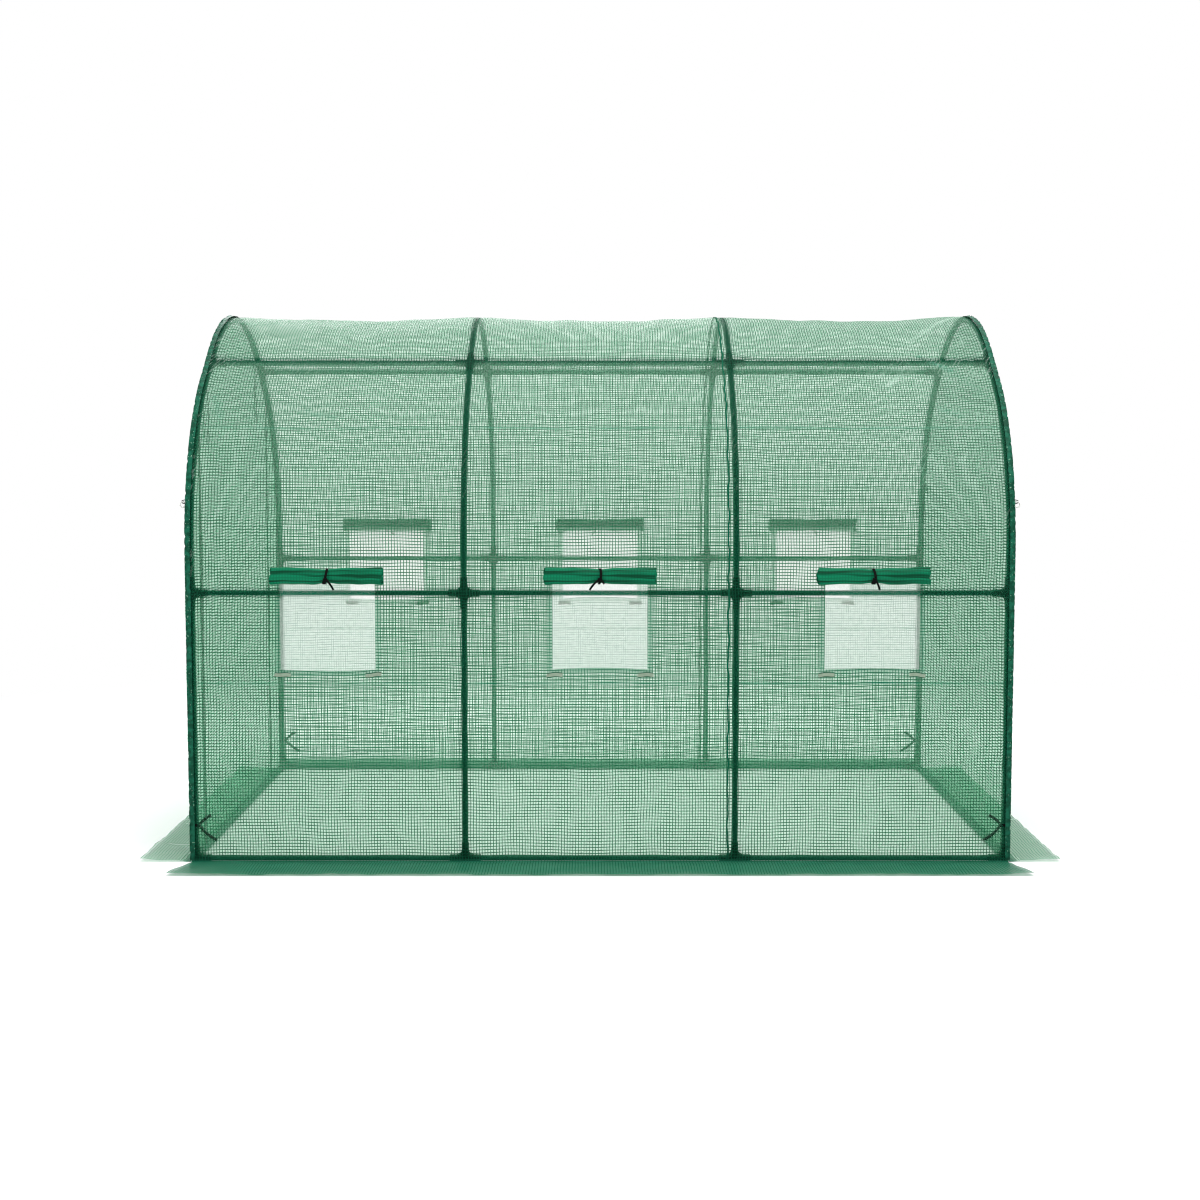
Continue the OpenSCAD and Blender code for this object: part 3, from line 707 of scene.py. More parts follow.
def tube_shade(x, far):
    """Painted shade of the tubes and fittings on the film: 1 in the middle of a tube or fitting under the
    film, falling off softly beside it.
    """
    hoop_gap = nearest(x, HOOP_XS)
    purlin_gap = np.abs(far - PURLIN_S - PURLIN_SHADE_SHIFT) * PURLIN_SHADE_SHARE
    rail_gap = np.minimum(purlin_gap, nearest(far, (MID_RAIL_S, WALL_END)))
    hoop_reach = TUBE_SHADE + FITTING_SHADE * bell(rail_gap, FITTING_REACH)
    rail_reach = TUBE_SHADE + FITTING_SHADE * bell(hoop_gap, FITTING_REACH)
    return np.maximum(bell(hoop_gap, hoop_reach, 4), bell(rail_gap, rail_reach, 4))


def cover_lift(x, s):
    """How far the film stands off its smooth shape, outwards, and how pale its creases are, partly wear and
    partly painted highlight.
    """
    far = np.abs(s)
    bay = np.clip((x - HOOP_XS[0]) / BAY_L, 0, len(HOOP_XS) - 1.0001) % 1
    slack = 4 * bay * (1 - bay)
    crown = np.clip(1 - (far / PURLIN_S) ** 2, 0, 1)
    shoulder = hump(far, PURLIN_S, SHOULDER_END)
    wall = hump(far, SHOULDER_END, WALL_END)
    skirt = ease(far, FOLD_END, FOLD_END + 0.05)
    wave = ripples(x, s, 11, 14, 0.16, 0.8)
    small = ripples(x, s, 12, 16, 0.07, 0.2)
    lift = -slack * (ROOF_SAG * crown + SHOULDER_SAG * shoulder)
    lift += slack * (crown + shoulder) * (0.0035 * wave + 0.0012 * small)
    from_window = window_distance(x, s)
    lift += slack * wall * (0.002 + 0.0022 * wave + 0.0008 * small) * ease(from_window, 0.03, 0.15)
    curl = ease(SKIRT_CURL_L - COVER_X + np.abs(x), 0, SKIRT_CURL_L) * ease(far, FOLD_END + 0.05, SKIRT_END)
    lift += skirt * (0.002 + 0.002 * (1 + wave) + 0.0015 * (1 + small)) + SKIRT_CURL * curl
    upright = ease(WALL_END - far, 0.0, 0.03)
    lift -= TUBE_DIP * tube_contact(x, far) * upright * ease(from_window, 0.02, 0.08)
    rise, wear_and_highlight = creases(x, s, 21, 90, (-1.4, 1.4), (-SHOULDER_END, SHOULDER_END), (0.03, 0.12), 0.012)
    tight, end_wear_and_highlight = creases(x, s, 22, 70, (0.95, 1.5), (-1.1, 1.1), (0.02, 0.10), 0.009)
    on_roof = ease(SHOULDER_END - far, 0, 0.2) * (0.2 + 0.8 * slack)
    fold_rise, pale, _ = roof_folds(x, s)
    lift += on_roof * (0.0022 * rise + 0.0016 * tight) + fold_rise
    return lift, np.maximum(pale, np.maximum(0.30 * wear_and_highlight * on_roof, 0.45 * end_wear_and_highlight)) + 0.06 * curl


def cover_points(x, s, clear=0.0):
    """Places on the cover, or at a clearance outside it, and how pale its creases are there, partly wear and
    partly painted highlight.
    """
    y, z, tilt = section(s)
    lift, wear_and_highlight = cover_lift(x, s)
    off = lift + clear
    return points(x, y + off * np.sin(tilt), z + off * np.abs(np.cos(tilt))), wear_and_highlight


def sill_bow(x, s):
    """How far the film under each window is pulled up, or sags, in the middle."""
    rise = np.zeros_like(x)
    for side, sill in SILLS.items():
        for window_x, height in zip(WINDOW_XS, SILL_BOWS):
            across = np.clip(1 - ((x - window_x) / (WINDOW_W / 2)) ** 2, 0, 1)
            rise += height * across * bell(s - side * height_to_s(sill), SILL_REACH)
    return rise


def cover_grid():
    """Grid points of the cover, along the tunnel and along the film, with lines at tubes, hems and folds."""
    x_breaks = [-COVER_X, COVER_X, *CRUMPLED_COLUMNS]
    x_breaks += [np.clip(hoop_x + off, -COVER_X, COVER_X) for hoop_x in HOOP_XS for off in SHADE_STEPS]
    for window_x in WINDOW_XS:
        x_breaks += [window_x + edge * (WINDOW_W / 2 + hem) for edge in (-1, 1) for hem in WINDOW_HEMS]
    s_breaks = [0.0]
    for line in FOLD_LINES:
        s_breaks += [line - CREASE_W, line, line + CREASE_W]
    for side, sill in SILLS.items():
        s_breaks += [side * end for end in STRETCH_ENDS]
        s_breaks += [side * (rail + off) for rail in (PURLIN_S, MID_RAIL_S) for off in SHADE_STEPS]
        for z, out in ((sill, -1), (sill + WINDOW_H, 1)):
            s_breaks += [side * height_to_s(z + out * hem) for hem in WINDOW_HEMS]
    near_rows = steps([b for b in s_breaks if b <= 0], NEAR_PITCH)
    far_rows = steps([b for b in s_breaks if b >= 0], FAR_PITCH)
    columns = steps(x_breaks, COLUMN_PITCH)
    return np.meshgrid(columns, np.concatenate([near_rows[:-1], far_rows]))


def low_wall_shade(far):
    """1 low on the side walls, where the film is painted a little greener and darker: painted shade of the
    dim floor inside.
    """
    return ease(far, height_to_s(0.80), height_to_s(0.30)) * (far <= WALL_END)


def cover_density(x, s, shade, flare):
    """How crowded or darkened the film is: crowded threads in hems, darker on the skirts, most on the near
    side, painted shade in dark folds, over tubes and low on the walls, and a broken dark line along each fold
    line.
    """
    far = np.abs(s)
    window_hem = window_distance(x, s) <= HEM_W + 0.001
    hem_top = WALL_END - np.where(s < 0, 0.03, 0.05)
    hem_band = ease(far, hem_top, hem_top + 0.03) * ease(FOLD_END + 0.04 - far, 0, 0.03)
    outer_edge = ease(far, SKIRT_END - 0.05, SKIRT_END - 0.01) * (0.6 + 0.4 * ripples(x, s, 33, 6, 0.1, 0.5))
    skirt = np.where(s < 0, 0.90, 0.30) * (far > WALL_END) * (1 - 0.35 * np.maximum(outer_edge, flare))
    hems = 0.40 * window_hem + np.maximum(0.85 * hem_band, skirt)
    # Painted shade over tubes, low on the walls and in the roof's dark folds
    dense = np.maximum.reduce([hems, 0.50 * shade, 0.06 * low_wall_shade(far), roof_folds(x, s)[2]])
    broken = 0.62 + 0.30 * ripples(x, s * 0, 31, 8, 0.1, 0.6)
    on_fold = nearest(s, FOLD_LINES) < CREASE_W / 2
    return np.clip(np.maximum(dense, on_fold * broken), 0, 1)


def cover_painted_glints(x, far):
    """How much painted glint the film gets: all over the roof, more along the crown and towards its ends."""
    roof = ease(SHOULDER_END - far, 0, 0.3) * (0.10 + 0.16 * ease(x, 0.85, 1.25))
    crown = 0.42 * ease(0.20 - far, 0, 0.12)
    ends = 0.30 * ease(np.abs(x), 1.30, 1.47) * ease(SHOULDER_END + 0.2 - far, 0, 0.3)
    return np.maximum.reduce([roof, crown, ends])


def tunnel_cover():
    """One sheet over all four hoops, from one ground skirt to the other, with a hole for each window."""
    x, s = cover_grid()
    far = np.abs(s)
    places, wear_and_highlight = cover_points(x, s)
    flare = ease(np.abs(x), COVER_X - SKIRT_FLARE_L, COVER_X) * ease(far, FOLD_END, SKIRT_END)
    places[..., 0] += np.sign(x) * SKIRT_FLARE * flare
    places[..., 2] += sill_bow(x, s)
    # Painted shade where tubes and fittings lie under the film, with a soft dark halo beside them
    shade = tube_shade(x, far) * ease(FOLD_END - far, 0, 0.012)
    # Painted sheen: the roof's film painted paler, for the light from above
    painted_roof_sheen = 0.10 * ease(SHOULDER_END - far, 0, 0.3)
    marks = {
        "crease": np.maximum(wear_and_highlight, painted_roof_sheen) * (1 - 0.95 * shade),
        "dense": cover_density(x, s, shade, flare),
        "gloss": cover_painted_glints(x, far),
        "contact": shade,
        # Low on the walls the film is painted greener: painted shade
        "tint": 0.35 * low_wall_shade(far),
    }
    keep = window_distance((x[1:, 1:] + x[:-1, :-1]) / 2, (s[1:, 1:] + s[:-1, :-1]) / 2) > 0
    piece = put(
        cloth_mesh("tunnel_cover", places, points(x, s), marks, keep), film, "film",
        "right_wall_sheet", "left_wall_sheet", "right_shoulder_sheet", "left_shoulder_sheet", "roof_sheet",
        "right_skirt", "left_skirt",
    )


# End walls
END_FOLD = FOLD_R * math.pi / 4
END_PITCH = 0.015
ZIP_PULL = 0.12
DOOR_CREASE_Y = -0.038
DOOR_CREASE_W = 0.006
SKIRT_SPREAD = 0.014
END_TINTS = {"front_right_film": 1.7, "front_left_film": 1.7, "door_film": 1.15, "back_film": 0.9}
# How much painted glint each front panel gets
PANEL_PAINTED_GLINTS = {"front_right_film": 0.30, "front_left_film": 0.70}


def arch_height(y):
    """Height of the film's arch at a distance across the tunnel."""
    far = np.abs(y)
    slope_z = CROWN_Z + CROWN_R * math.sin(TURN)
    on_shoulder = np.clip(SHOULDER_R**2 - (far - SHOULDER_Y) ** 2, 0, None)
    return np.select([far <= CROWN_Y, far <= FOOT_Y], [
        CROWN_Z + np.sqrt(np.clip(CROWN_R**2 - far**2, 0, None)),
        slope_z - (far - CROWN_Y) * math.tan(ROOF_TURN),
    ], POST_H + np.sqrt(on_shoulder))


def end_grid(name, low_y, high_y):
    """Grid points of an end sheet, across it and up from its ground fold, and the arch over each column."""
    breaks = [low_y, high_y]
    if name == "door_film":
        breaks += [DOOR_CREASE_Y + across for across in (-DOOR_CREASE_W, 0, DOOR_CREASE_W)]
    columns = steps(breaks, END_PITCH)
    arch = arch_height(columns)
    skirt_rows = np.linspace(-END_FOLD - END_SKIRT_W + FOLD_R, -END_FOLD, 14)[:-1]
    fold_rows = np.linspace(-END_FOLD, END_FOLD, 7)
    ground_rows = np.concatenate([skirt_rows, fold_rows])[:, None] * np.ones_like(arch)
    wall_rows = END_FOLD + np.linspace(0, 1, 126)[1:, None] * (arch - FOLD_R)
    up = np.concatenate([ground_rows, wall_rows])
    return np.broadcast_to(columns, up.shape), up, arch


def end_painted_glints(name, y, z):
    """How much painted glint an end sheet gets: the panels above their foot, the door near its upper left
    corner.
    """
    if name == "door_film":
        return 0.08 + 0.50 * ease(y, 0.2, 0.5) * ease(z, 1.1, 1.4)
    if name == "back_film":
        return np.full_like(y, 0.10)
    return PANEL_PAINTED_GLINTS[name] * ease(z, 0.25, 0.7)


def end_sheet(name, end, low_y, high_y, seed, crumple, *replaced):
    """A piece of an end wall with its ground skirt. end is -1 at the door and 1 at the back."""
    y, up, arch = end_grid(name, low_y, high_y)
    turn = np.clip((up + END_FOLD) / FOLD_R, 0, math.pi / 2)
    skirt = np.clip(-END_FOLD - up, 0, None)
    out = FOLD_R * (1 - np.sin(turn)) + skirt
    z = FOLD_R * (1 - np.cos(turn)) + np.clip(up - END_FOLD, 0, None)
    on_ground = ease(skirt, 0, 0.05)
    slack = ease(arch - z, 0.01, 0.16) * ease(z, 0.0, 0.12)
    spread = np.zeros_like(z)
    for edge, way in ((low_y, -1), (high_y, 1)):
        zipped = abs(edge) < WALL_Y
        if zipped:
            slack = slack * ease(np.abs(y - edge), 0.0, ZIP_PULL)
            spread += way * SKIRT_SPREAD * on_ground * ease(ZIP_PULL - np.abs(y - edge), 0, ZIP_PULL)
    wave = ripples(y, up, seed, 12, 0.14, 0.7)
    small = ripples(y, up, seed + 1, 16, 0.06, 0.18)
    count = int(60 * crumple * (high_y - low_y) / 0.3)
    rise, wear_and_highlight = creases(y, up, seed + 2, count, (low_y, high_y), (0.1, 1.9), (0.02, 0.09), 0.010)
    lift = slack * (0.004 + 0.004 * wave + 0.0012 * small + 0.0016 * min(crumple, 1.5) * rise)
    curl = ease(0.12 - np.minimum(y - low_y, high_y - y), 0, 0.12) * ease(skirt, 0.05, END_SKIRT_W)
    ground_lift = on_ground * (0.002 + 0.002 * (1 + wave) + 0.002 * (1 + small)) + 0.006 * curl
    # Pale creases, curled corners and the door's crease line: partly wear, partly painted highlight
    wear_and_highlight = 0.30 * crumple * wear_and_highlight * ease(z, 0.05, 0.3) + 0.08 * curl
    if name == "door_film":
        on_crease = np.abs(y - DOOR_CREASE_Y) < DOOR_CREASE_W / 2
        wear_and_highlight = np.maximum(wear_and_highlight, on_crease * ease(z, 1.35, 1.75) * ease(arch - z, 0, 0.05))
    marks = {
        "crease": np.clip(wear_and_highlight + 0.18 * on_ground, 0, 1),
        "dense": 0.75 * ease(0.03 - np.abs(up), 0, 0.012),
        "gloss": end_painted_glints(name, y, z),
        # Painted shade along the top of the end film, where it meets the hoop
        "contact": bell(arch - z, 0.020) * (up > 0),
        "tint": END_TINTS[name] * (1 - on_ground),
    }
    places = points(end * (END_X + out + lift), y + spread, z + GROUND_LIFT + ground_lift)
    piece = put(cloth_mesh(name, places, points(y, up), marks), film, "film", *replaced)


BAND_W = 0.014
FACE_W = 0.012
BINDING_T = 0.0012
SELVEDGE_W = 0.008
SELVEDGE_T = 0.0010


def arch_binding(name, end):
    """Film edges gathered and sewn over an end hoop, where the cover meets the end wall."""
    s = np.linspace(-WALL_END, WALL_END, 721)
    y, z, tilt = section(s)
    gathers = ripples(s, 0 * s, 71 + end, 12, 0.018, 0.09)[:, None]
    frill = ripples(s, 0 * s, 75 + end, 14, 0.014, 0.06)[:, None]
    along = np.array([end, 0, 0])
    out = points(0, np.sin(tilt), np.abs(np.cos(tilt)))
    seam = points(end * END_X, y, z)
    band = seam - 0.0065 * along + (0.0016 + 0.0009 * gathers) * out
    face = seam + (0.0018 + 0.0006 * gathers) * along - 0.006 * out
    selvedge = seam + 0.0022 * along + (0.0012 + 0.0010 * frill) * out
    lean = np.cos(1.1 * frill) * along + np.sin(1.1 * frill) * out
    shape = Shape()
    shape.sweep(band, along, strip(BAND_W, BINDING_T))
    shape.sweep(face, out, strip(FACE_W, BINDING_T))
    shape.sweep(selvedge, lean, strip(SELVEDGE_W, SELVEDGE_T))
    shape.put(name, gathered_edge, "skirt_film")


SEAM_X = HOOP_XS[2] - 0.028
SEAM_W = 0.006
SEAM_T = 0.0012
SEAM_ROWS = 361
LOOSE_THREADS = 46


def seam_strip():
    """Frayed seam beside the third hoop, where two lengths of film are joined."""
    s = np.linspace(-WALL_END, WALL_END, SEAM_ROWS)
    x = SEAM_X + 0.0015 * np.sin(s * 41) + 0.001 * np.sin(s * 97)
    places, _ = cover_points(x, s, 0.0015)
    shape = Shape()
    shape.sweep(places, ALONG, strip(SEAM_W, SEAM_T))
    draw = np.random.default_rng(41)
    for i in draw.choice(np.arange(20, SEAM_ROWS - 21), LOOSE_THREADS, replace=False):
        lean = np.array([draw.uniform(-0.014, 0.014), 0, draw.uniform(-0.02, 0.02)])
        thread = [places[i], places[i] + lean * 0.6, places[i] + lean]
        outward = np.array([0, np.sign(s[i]), 0.4]) * 0.002
        shape.sweep(np.array(thread) + outward, (0, 1, 0.2), rod(SEAM_T, 5))
    shape.put("seam_strip", edge_binding, "skirt_film")


# Windows
NET_Y = WALL_Y - 0.0016
NET_PITCH = 0.014
ROLL_Y = WALL_Y + 0.0012
ROLL_TURNS = 2.75
ROLL_GAP = 0.0036
ROLL_PITCH = 0.008
ROLL_PINCH = 0.16
ROLL_PINCH_REACH = 0.035
FLAP_TOP = 0.012
TIE_W = 0.009
TIE_T = 0.0014
TIE_OFF = 0.0018
TIE_WRAP = math.pi * 0.62
TIE_SHARE = 0.86
TIE_KNOT = (0.013, 0.0052)
TIE_TAIL_W = 0.0075
TAIL_T = 0.0022
TIE_LEANS = (0.8, -1.1, 0.6)
TIE_TAILS = ((1, 0.034), (-1, 0.014))
TAB_L = 0.058
TAB_W = 0.016
TAB_T = 0.0014
TAB_RIM = (0.0026, 0.0018)
TAB_RIM_OFF = 0.0004
TAB_RIM_Z = 0.0078
TAB_DROP = 0.018
TAB_INSET = 0.007


def window_net(side, number, window_x):
    """Insect net lapped behind the film."""
    half_w, half_h = WINDOW_W / 2 + NET_LAP, WINDOW_H / 2 + NET_LAP
    net_z = SILLS[side] + WINDOW_H / 2
    rail_rows = np.clip([MID_RAIL_Z - net_z + off for off in SHADE_STEPS], -half_h, half_h)
    u, v = np.meshgrid(np.linspace(-half_w, half_w, 29), steps([-half_h, half_h, *rail_rows], NET_PITCH))
    slack = np.clip(1 - (u / half_w) ** 2, 0, 1) * np.clip(1 - (v / half_h) ** 2, 0, 1)
    bulge = 0.0008 * slack * ripples(u, v, 60 + number, 8, 0.05, 0.2)
    places = points(window_x + u, side * (NET_Y + bulge), net_z + v)
    name = f"{SIDE_NAMES[side]}_window_net_{number + 1}"
    # Painted shade of the net over the mid rail
    mesh = cloth_mesh(name, places, points(u, v), {"contact": bell(net_z + v - MID_RAIL_Z, 0.0125)})
    piece = put(mesh, insect_net, "insect_net", f"{SIDE_NAMES[side]}_window_nets")


def roll_section(side):
    """Height of a roll's middle and its half sizes, across and up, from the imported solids."""
    low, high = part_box(f"{SIDE_NAMES[side]}_window_rolls")
    return (low.z + high.z) / 2, (high.y - low.y) / 2, (high.z - low.z) / 2


def window_roll(side, number, window_x):
    """A flap rolled up over its window: film wound inwards, pinched where it is tied."""
    roll_z, half_depth, half_height = roll_section(side)
    turn = np.linspace(0, TAU * ROLL_TURNS, 110)
    shrink = ROLL_GAP * turn / TAU
    lead = np.linspace(FLAP_TOP, 0, 4)[:-1]
    across = np.concatenate([0 * lead, half_depth - (half_depth - shrink) * np.cos(turn)])
    up = np.concatenate([half_height * 0.55 + lead, (half_height - shrink) * np.sin(turn)])
    run = np.concatenate([[0], np.cumsum(np.hypot(np.diff(across), np.diff(up)))])
    half_l = ROLL_L / 2
    u, v = np.meshgrid(steps([-half_l, half_l], ROLL_PITCH), run)
    from_middle = np.abs(u) / half_l
    swell = (1 - ROLL_PINCH * bell(u, ROLL_PINCH_REACH)) * (1 + 0.05 * from_middle**2)
    sway = 0.0016 * ripples(u, v * 0.3, 80 + number * 2 + side, 9, 0.07, 0.3)
    depth = np.clip(np.clip(across[:, None] * swell, 0, None) + 0.5 * sway, 0, None)
    ragged = 0.004 * np.sin(run * 90 + number)[:, None] * from_middle**12
    places = points(window_x + u + ragged, side * (ROLL_Y + depth), roll_z + up[:, None] * swell + sway)
    name = f"{SIDE_NAMES[side]}_window_roll_{number + 1}"
    mesh = cloth_mesh(name, places, points(u, v), {})
    piece = put(mesh, rolled_film, "skirt_film", f"{SIDE_NAMES[side]}_window_rolls")


def window_ties():
    """Black tape tied round each roll, with a knot and two loose tails."""
    shape = Shape()
    turn = np.linspace(-TIE_WRAP, TIE_WRAP, 26)
    t = np.linspace(0, 1, 9)
    for side in SILLS:
        roll_z, half_depth, half_height = roll_section(side)
        depth = half_depth + (half_depth + TIE_OFF) * np.cos(turn)
        height = (half_height * TIE_SHARE + TIE_OFF) * np.sin(turn)
        front = WALL_Y + 2 * half_depth + 0.004
        knot_z = roll_z - half_height * 0.35
        for number, window_x in enumerate(WINDOW_XS):
            x = window_x + 0.004 * np.sin(turn * 1.5 + number)
            loop = points(x, side * (ROLL_Y + depth), roll_z + height)
            shape.sweep(loop, ALONG, strip(TIE_W, TIE_T))
            shape.knot((window_x, side * front, knot_z), ALONG, UP, *TIE_KNOT)
            for way, reach in TIE_TAILS:
                tail = points(
                    window_x + way * reach * t * TIE_LEANS[number],
                    side * (front + 0.002 - 0.012 * t**2),
                    knot_z - reach * (0.35 * t + 0.75 * t**2),
                )
                shape.sweep(tail, (0, side, 0.2), strip(TAIL_T, TIE_TAIL_W))
    shape.put("window_ties_knotted", black_tape, "black_tape", "window_ties")


def window_tabs():
    """Hook-and-loop tabs under the windows' lower corners, a little curled, with bound edges."""
    shape, rims = Shape(), Shape()
    t = np.linspace(-1, 1, 11)
    for side, sill in SILLS.items():
        for number, window_x in enumerate(WINDOW_XS):
            for end in (-1, 1):
                x = window_x + end * (WINDOW_W / 2 - TAB_INSET) + TAB_L / 2 * t
                lift = 0.0018 + 0.0022 * ease(end * t, 0.3, 1.0)
                z = sill - TAB_DROP + 0.0016 * np.sin(3 * t + number) + 0.002 * end * t * (1 - number)
                path = points(x, side * (WALL_Y + lift), z)
                shape.sweep(path, UP, strip(TAB_W, TAB_T))
                for edge in (-1, 1):
                    rim = path + np.array([0, side * TAB_RIM_OFF, edge * TAB_RIM_Z])
                    rims.sweep(rim, UP, strip(*TAB_RIM))
    rims.put("window_tab_edges", edge_binding, "tab")
    shape.put("window_grip_tabs", grip_tab, "tab", "window_tabs")


# Door
ZIP_FOOT_Z = 0.004
ZIP_TAPE_T = 0.0012
TOOTH_PITCH = 0.0046
TOOTH_SIZE = (0.0030, 0.0026)
TOOTH_BEND = ((-0.0014, -0.0040), (-0.0020, 0.0), (-0.0014, 0.0040))
CHAIN_CORD_D = 0.0026
CHAIN_CORD_Y = 0.0036
PATCH_SIZE = 0.038
DOOR_TIE_KNOT = (0.009, 0.0042)


def zip_tapes(name, side):
    """The two tapes of a zip, up to the arch."""
    shape = Shape()
    for edge in (-1, 1):
        tape_y = side * ZIP_Y + edge * (ZIP_W + CHAIN_W) / 4
        z = np.linspace(GROUND_LIFT, float(arch_height(np.array(abs(tape_y)))) - 0.004, 90)
        path = points(ZIP_FACE_X + 0.0004 + 0.0004 * np.sin(z * 60 + edge), tape_y, z)
        shape.sweep(path, ACROSS, strip((ZIP_W - CHAIN_W) / 2 + 0.002, ZIP_TAPE_T))
    shape.put(name, zip_tape, "zip")


def zip_chain(name, side):
    """Interlocking teeth of a zip, on a cord core, up to its top stop."""
    shape = Shape()
    y = side * ZIP_Y
    for i in range(int((ZIP_TOP_Z - ZIP_FOOT_Z) / TOOTH_PITCH)):
        tooth_y = y + (0.001 if i % 2 else -0.001)
        z = ZIP_FOOT_Z + (i + 0.5) * TOOTH_PITCH
        path = [(ZIP_FACE_X + out, tooth_y + across, z) for out, across in TOOTH_BEND]
        shape.sweep(path, UP, strip(*TOOTH_SIZE))
    for edge in (-1, 1):
        z = np.linspace(ZIP_FOOT_Z, ZIP_TOP_Z, 60)
        path = points(ZIP_FACE_X - 0.0004, y + edge * CHAIN_CORD_Y, z)
        shape.sweep(path, ACROSS, rod(CHAIN_CORD_D, 6))
    shape.put(name, zip_teeth, "zip", "door_zips")


def zip_patch():
    """Doubled film sewn over the right zip's upper end."""
    across = np.linspace(-0.5, 0.5, 9) * PATCH_SIZE
    u, v = np.meshgrid(across, across)
    off = 0.0030 + 0.0012 * np.cos(u / PATCH_SIZE * 5) * np.cos(v / PATCH_SIZE * 4)
    places = points(ZIP_FACE_X - off, -ZIP_Y + u + 0.001, ZIP_TOP_Z + 0.004 + v)
    piece = put(cloth_mesh("zip_patch", places, points(u, v), {}), rolled_film, "skirt_film")


def door_tie(place, route, end_knot):
    """Flat black tape that hangs from the arch seam, for tying the rolled-up door."""
    name = f"door_tape_{place}"
    shape = Shape()
    shape.sweep(route, ACROSS, strip(DOOR_TIE_W, DOOR_TIE_T))
    piece = shape.put(name, black_tape, "black_tape", f"door_tie_{place}")
    extra = []
    if end_knot:
        lump = Shape()
        lump.knot(route[-1], ACROSS, UP, *DOOR_TIE_KNOT)
        extra = [lump.put(name + "_knot", black_tape, "black_tape")]


# Corners
ring_low, ring_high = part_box("guy_rings")
RING_BAR = 0.0055
RING_D = ring_high.z - ring_low.z - RING_BAR
RING_Y = ring_high.y - (RING_D + RING_BAR) / 2
RING_Z = (ring_low.z + ring_high.z) / 2
RING_SWING = math.radians(72)
RING_OUT = 0.0185
LOOP_D = 0.003
LOOP_TAIL_D = 0.0026
LOOP_TAILS = ((-1, 0.034), (1, 0.026))
LOOP_KNOT = (0.010, 0.0036)
CORNER_TIE_Y = WALL_Y - 0.0143
CORNER_TIE_Z = 0.136
CORNER_TIE_R = 0.0112
CORNER_KNOT = (0.012, 0.005)
CORNER_KNOT_IN = 0.013
CORNER_TAILS = ((1, 0.060), (-1, 0.086))
CORNER_TAIL_W = 0.0105


def hung_rings():
    """White rings for guy lines, swung half out from the end walls on their cords."""
    shape = Shape()
    turn = np.linspace(0, TAU, 40, endpoint=False)[:, None]
    for end, side in CORNERS:
        across = np.array([end * math.sin(RING_SWING), side * math.cos(RING_SWING), 0])
        centre = np.array([end * (END_X + RING_OUT), side * RING_Y, RING_Z])
        path = centre + RING_D / 2 * (np.cos(turn) * across + np.sin(turn) * np.array(UP))
        shape.sweep(path, np.cross(across, UP), rod(RING_BAR, 12), closed=True)
    shape.put("guy_rings_hung", ring_plastic, "ring", "guy_rings")


def ring_cords():
    """Black cord loops that hold the white rings, knotted, with short tails."""
    shape = Shape()
    face = END_X + FILM_INSET
    knot_x = face + 0.003
    z = RING_Z + RING_D / 2
    turn = np.linspace(-math.pi / 2, math.pi / 2, 15)
    t = np.linspace(0, 1, 8)
    for end, side in CORNERS:
        y = side * RING_Y
        loop_x = end * (face - 0.0006 + (RING_OUT + 0.0045) * np.cos(turn))
        shape.sweep(points(loop_x, y, z + 0.0078 * np.sin(turn)), ACROSS, rod(LOOP_D))
        shape.knot((end * knot_x, y, z + 0.010), ACROSS, UP, *LOOP_KNOT)
        for way, drop in LOOP_TAILS:
            tail = points(end * (knot_x + 0.002 * t), y - side * way * 0.018 * t, z + 0.008 - drop * t**1.5)
            shape.sweep(tail, UP, rod(LOOP_TAIL_D))
    shape.put("ring_cords", black_tape, "black_tape", "ring_loops")


def corner_ties():
    """Tape tied round each corner post inside the film, with two spread tails."""
    shape = Shape()
    z = CORNER_TIE_Z
    turn = np.linspace(0, TAU, 28, endpoint=False)
    t = np.linspace(0, 1, 12)
    for end, side in CORNERS:
        x, y = end * -HOOP_XS[0], side * CORNER_TIE_Y
        band = points(x + CORNER_TIE_R * np.cos(turn), y + CORNER_TIE_R * np.sin(turn), z)
        shape.sweep(band, UP, strip(TIE_W, TIE_T), closed=True)
        inner = x - end * CORNER_KNOT_IN
        shape.knot((inner, y, z), UP, ALONG, *CORNER_KNOT)
        for way, reach in CORNER_TAILS:
            tail = points(
                inner - end * reach * 0.78 * t,
                y + side * 0.0115 * np.sin(np.minimum(t * 3, 1.5)),
                z + way * reach * (0.62 * t + 0.08 * np.sin(t * math.pi)),
            )
            shape.sweep(tail, ACROSS, strip(TAIL_T, CORNER_TAIL_W))
    shape.put("corner_ties_knotted", black_tape, "black_tape", "corner_ties")


# Light, floor and camera
SKY_STRENGTH = 0.80
FLOOR_REACH = 60.0
FLOOR_FADE = (2.6, 5.0)
LAMPS = [
    ("key_lamp", (1.6, -3.4, 6.4), (0.0, 0, 1.0), 4.0, 200.0),
    ("top_lamp", (0.0, 0.4, 5.8), (0.0, 0.4, 0.0), 5.0, 150.0),
    ("fill_lamp", (-5.0, -4.0, 4.2), (0, 0, 1.0), 3.0, 50.0),
    ("back_lamp", (-1.0, 6.0, 5.0), (0, 0, 1.0), 4.0, 220.0),
]
CAMERA_PLACE = (0, -8.05, 1.57)
CAMERA_DIP = math.radians(4.9)
SENSOR_W = 36.0
LENS = 58.5


def stand(name, data, place, turn):
    """Puts a lamp or the camera in the scene."""
    thing = bpy.data.objects.new(name, data)
    thing.location = place
    thing.rotation_euler = turn
    bpy.context.scene.collection.objects.link(thing)
    return thing


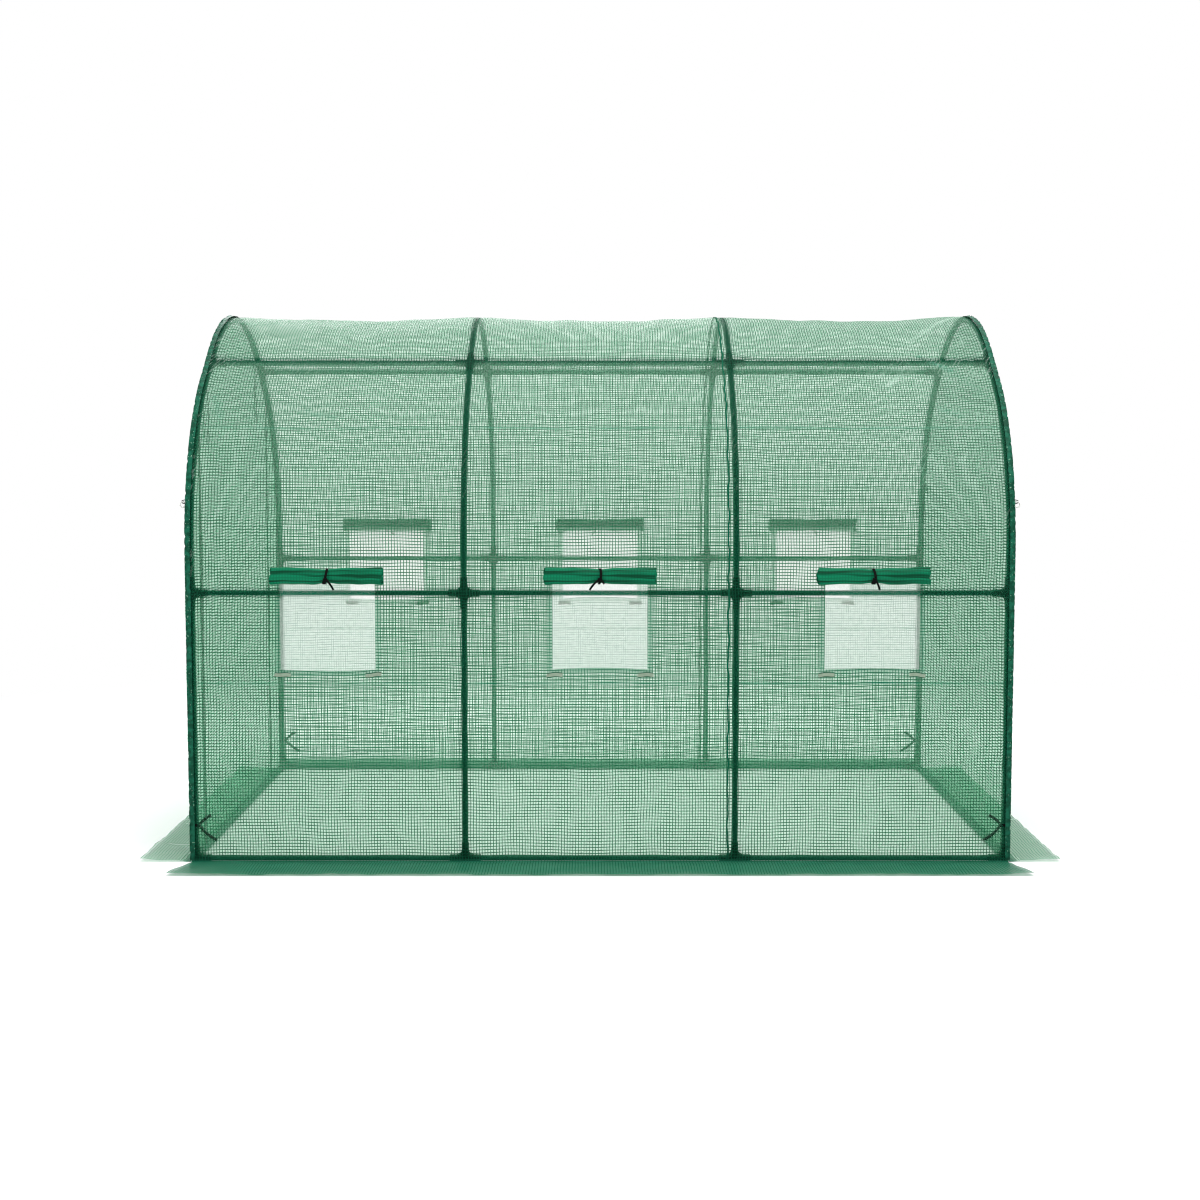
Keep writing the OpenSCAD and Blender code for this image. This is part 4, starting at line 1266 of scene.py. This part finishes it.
def view_settings():
    """Plain colours, enough bounces for many layers of film, and a narrow filter that keeps threads crisp."""
    scene = bpy.context.scene
    scene.view_settings.view_transform = "Standard"
    scene.cycles.transparent_max_bounces = 20
    scene.cycles.max_bounces = 8
    scene.cycles.filter_width = 1.15


def sky():
    """Even white sky, a little stronger where it is seen than where it lights the tunnel."""
    world = Finish("studio_sky", bpy.data.worlds, "ShaderNodeOutputWorld")
    soft_white = world.add("ShaderNodeBackground", {}, {"Color": WHITE, "Strength": SKY_STRENGTH})
    white = world.add("ShaderNodeBackground", {}, {"Color": WHITE, "Strength": 1.0})
    bpy.context.scene.world = world.end(world.mix(world.in_sight(), soft_white, white))


def floor():
    """White floor that keeps the tunnel's shadow and fades into the white sky further off."""
    finish = Finish("studio_floor")
    place = finish.place()
    colour = finish.blend(finish.noise(place, 2.0), (0.97, 0.97, 0.97, 1), (0.98, 0.98, 0.98, 1))
    backdrop = finish.add("ShaderNodeEmission", {}, {"Color": WHITE, "Strength": 1.0})
    far_off = finish.smooth(finish.vector("LENGTH", place, output="Value"), *FLOOR_FADE) * finish.in_sight()
    mesh = bpy.data.meshes.new("floor")
    corners = [(x * FLOOR_REACH, y * FLOOR_REACH, 0) for x, y in ((-1, -1), (1, -1), (1, 1), (-1, 1))]
    mesh.from_pydata(corners, [], [(0, 1, 2, 3)])
    mesh.materials.append(finish.end(finish.mix(far_off, finish.surface(colour, 0.9), backdrop)))
    ground = bpy.data.objects.new("floor", mesh)
    bpy.context.scene.collection.objects.link(ground)


def lamps():
    """Large soft lamps in front, above, to the left and behind."""
    for name, place, aim, size, power in LAMPS:
        lamp = bpy.data.lights.new(name, "AREA")
        lamp.size = size
        lamp.energy = power
        x, y, z = np.array(aim) - np.array(place)
        stand(name, lamp, place, (math.atan2(math.hypot(x, y), -z), 0, math.atan2(y, x) - math.pi / 2))


def camera():
    """The photograph's view of the long side, from the right."""
    eye = bpy.data.cameras.new("camera")
    eye.sensor_width = SENSOR_W
    eye.lens = LENS
    bpy.context.scene.camera = stand("camera", eye, CAMERA_PLACE, (math.pi / 2 - CAMERA_DIP, 0, 0))


def dress(material, *nodes):
    """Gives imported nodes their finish."""
    for node in nodes:
        piece = bpy.data.objects[node]
        piece.data.materials.clear()
        piece.data.materials.append(material)


camera()
view_settings()
sky()
floor()
lamps()
for tie_place, tie_route in DOOR_TIE_ROUTES.items():
    door_tie(tie_place, tie_route, tie_place == KNOTTED_TIE)
tunnel_cover()
end_sheet("front_right_film", -1, -WALL_Y, -PANEL_EDGE_Y, 110, 0.6, "front_right_panel", "front_skirts")
end_sheet("front_left_film", -1, PANEL_EDGE_Y, WALL_Y, 120, 1.6, "front_left_panel", "front_skirts")
end_sheet("door_film", -1, -DOOR_EDGE_Y, DOOR_EDGE_Y, 130, 0.5, "door_panel", "front_skirts")
end_sheet("back_film", 1, -WALL_Y, WALL_Y, 140, 0.4, "back_wall_sheet", "back_skirt")
arch_binding("front_binding", -1)
arch_binding("back_binding", 1)
seam_strip()
for window_side in SILLS:
    for window_number, middle_x in enumerate(WINDOW_XS):
        window_net(window_side, window_number, middle_x)
        window_roll(window_side, window_number, middle_x)
window_ties()
window_tabs()
for zip_side in (-1, 1):
    zip_tapes(f"{SIDE_NAMES[zip_side]}_zip_tape", zip_side)
    zip_chain(f"{SIDE_NAMES[zip_side]}_zip_chain", zip_side)
zip_patch()
hung_rings()
ring_cords()
corner_ties()
dress(
    tube_coat, *HOOPS, "right_base_rails", "left_base_rails", "end_base_rails", "right_mid_rails",
    "left_mid_rails", "right_purlins", "left_purlins",
)
dress(
    fitting_plastic, "corner_elbows", "base_tees", "mid_tees", "mid_crosses", "purlin_tees", "purlin_crosses",
)
dress(slider_lacquer, "zip_sliders")
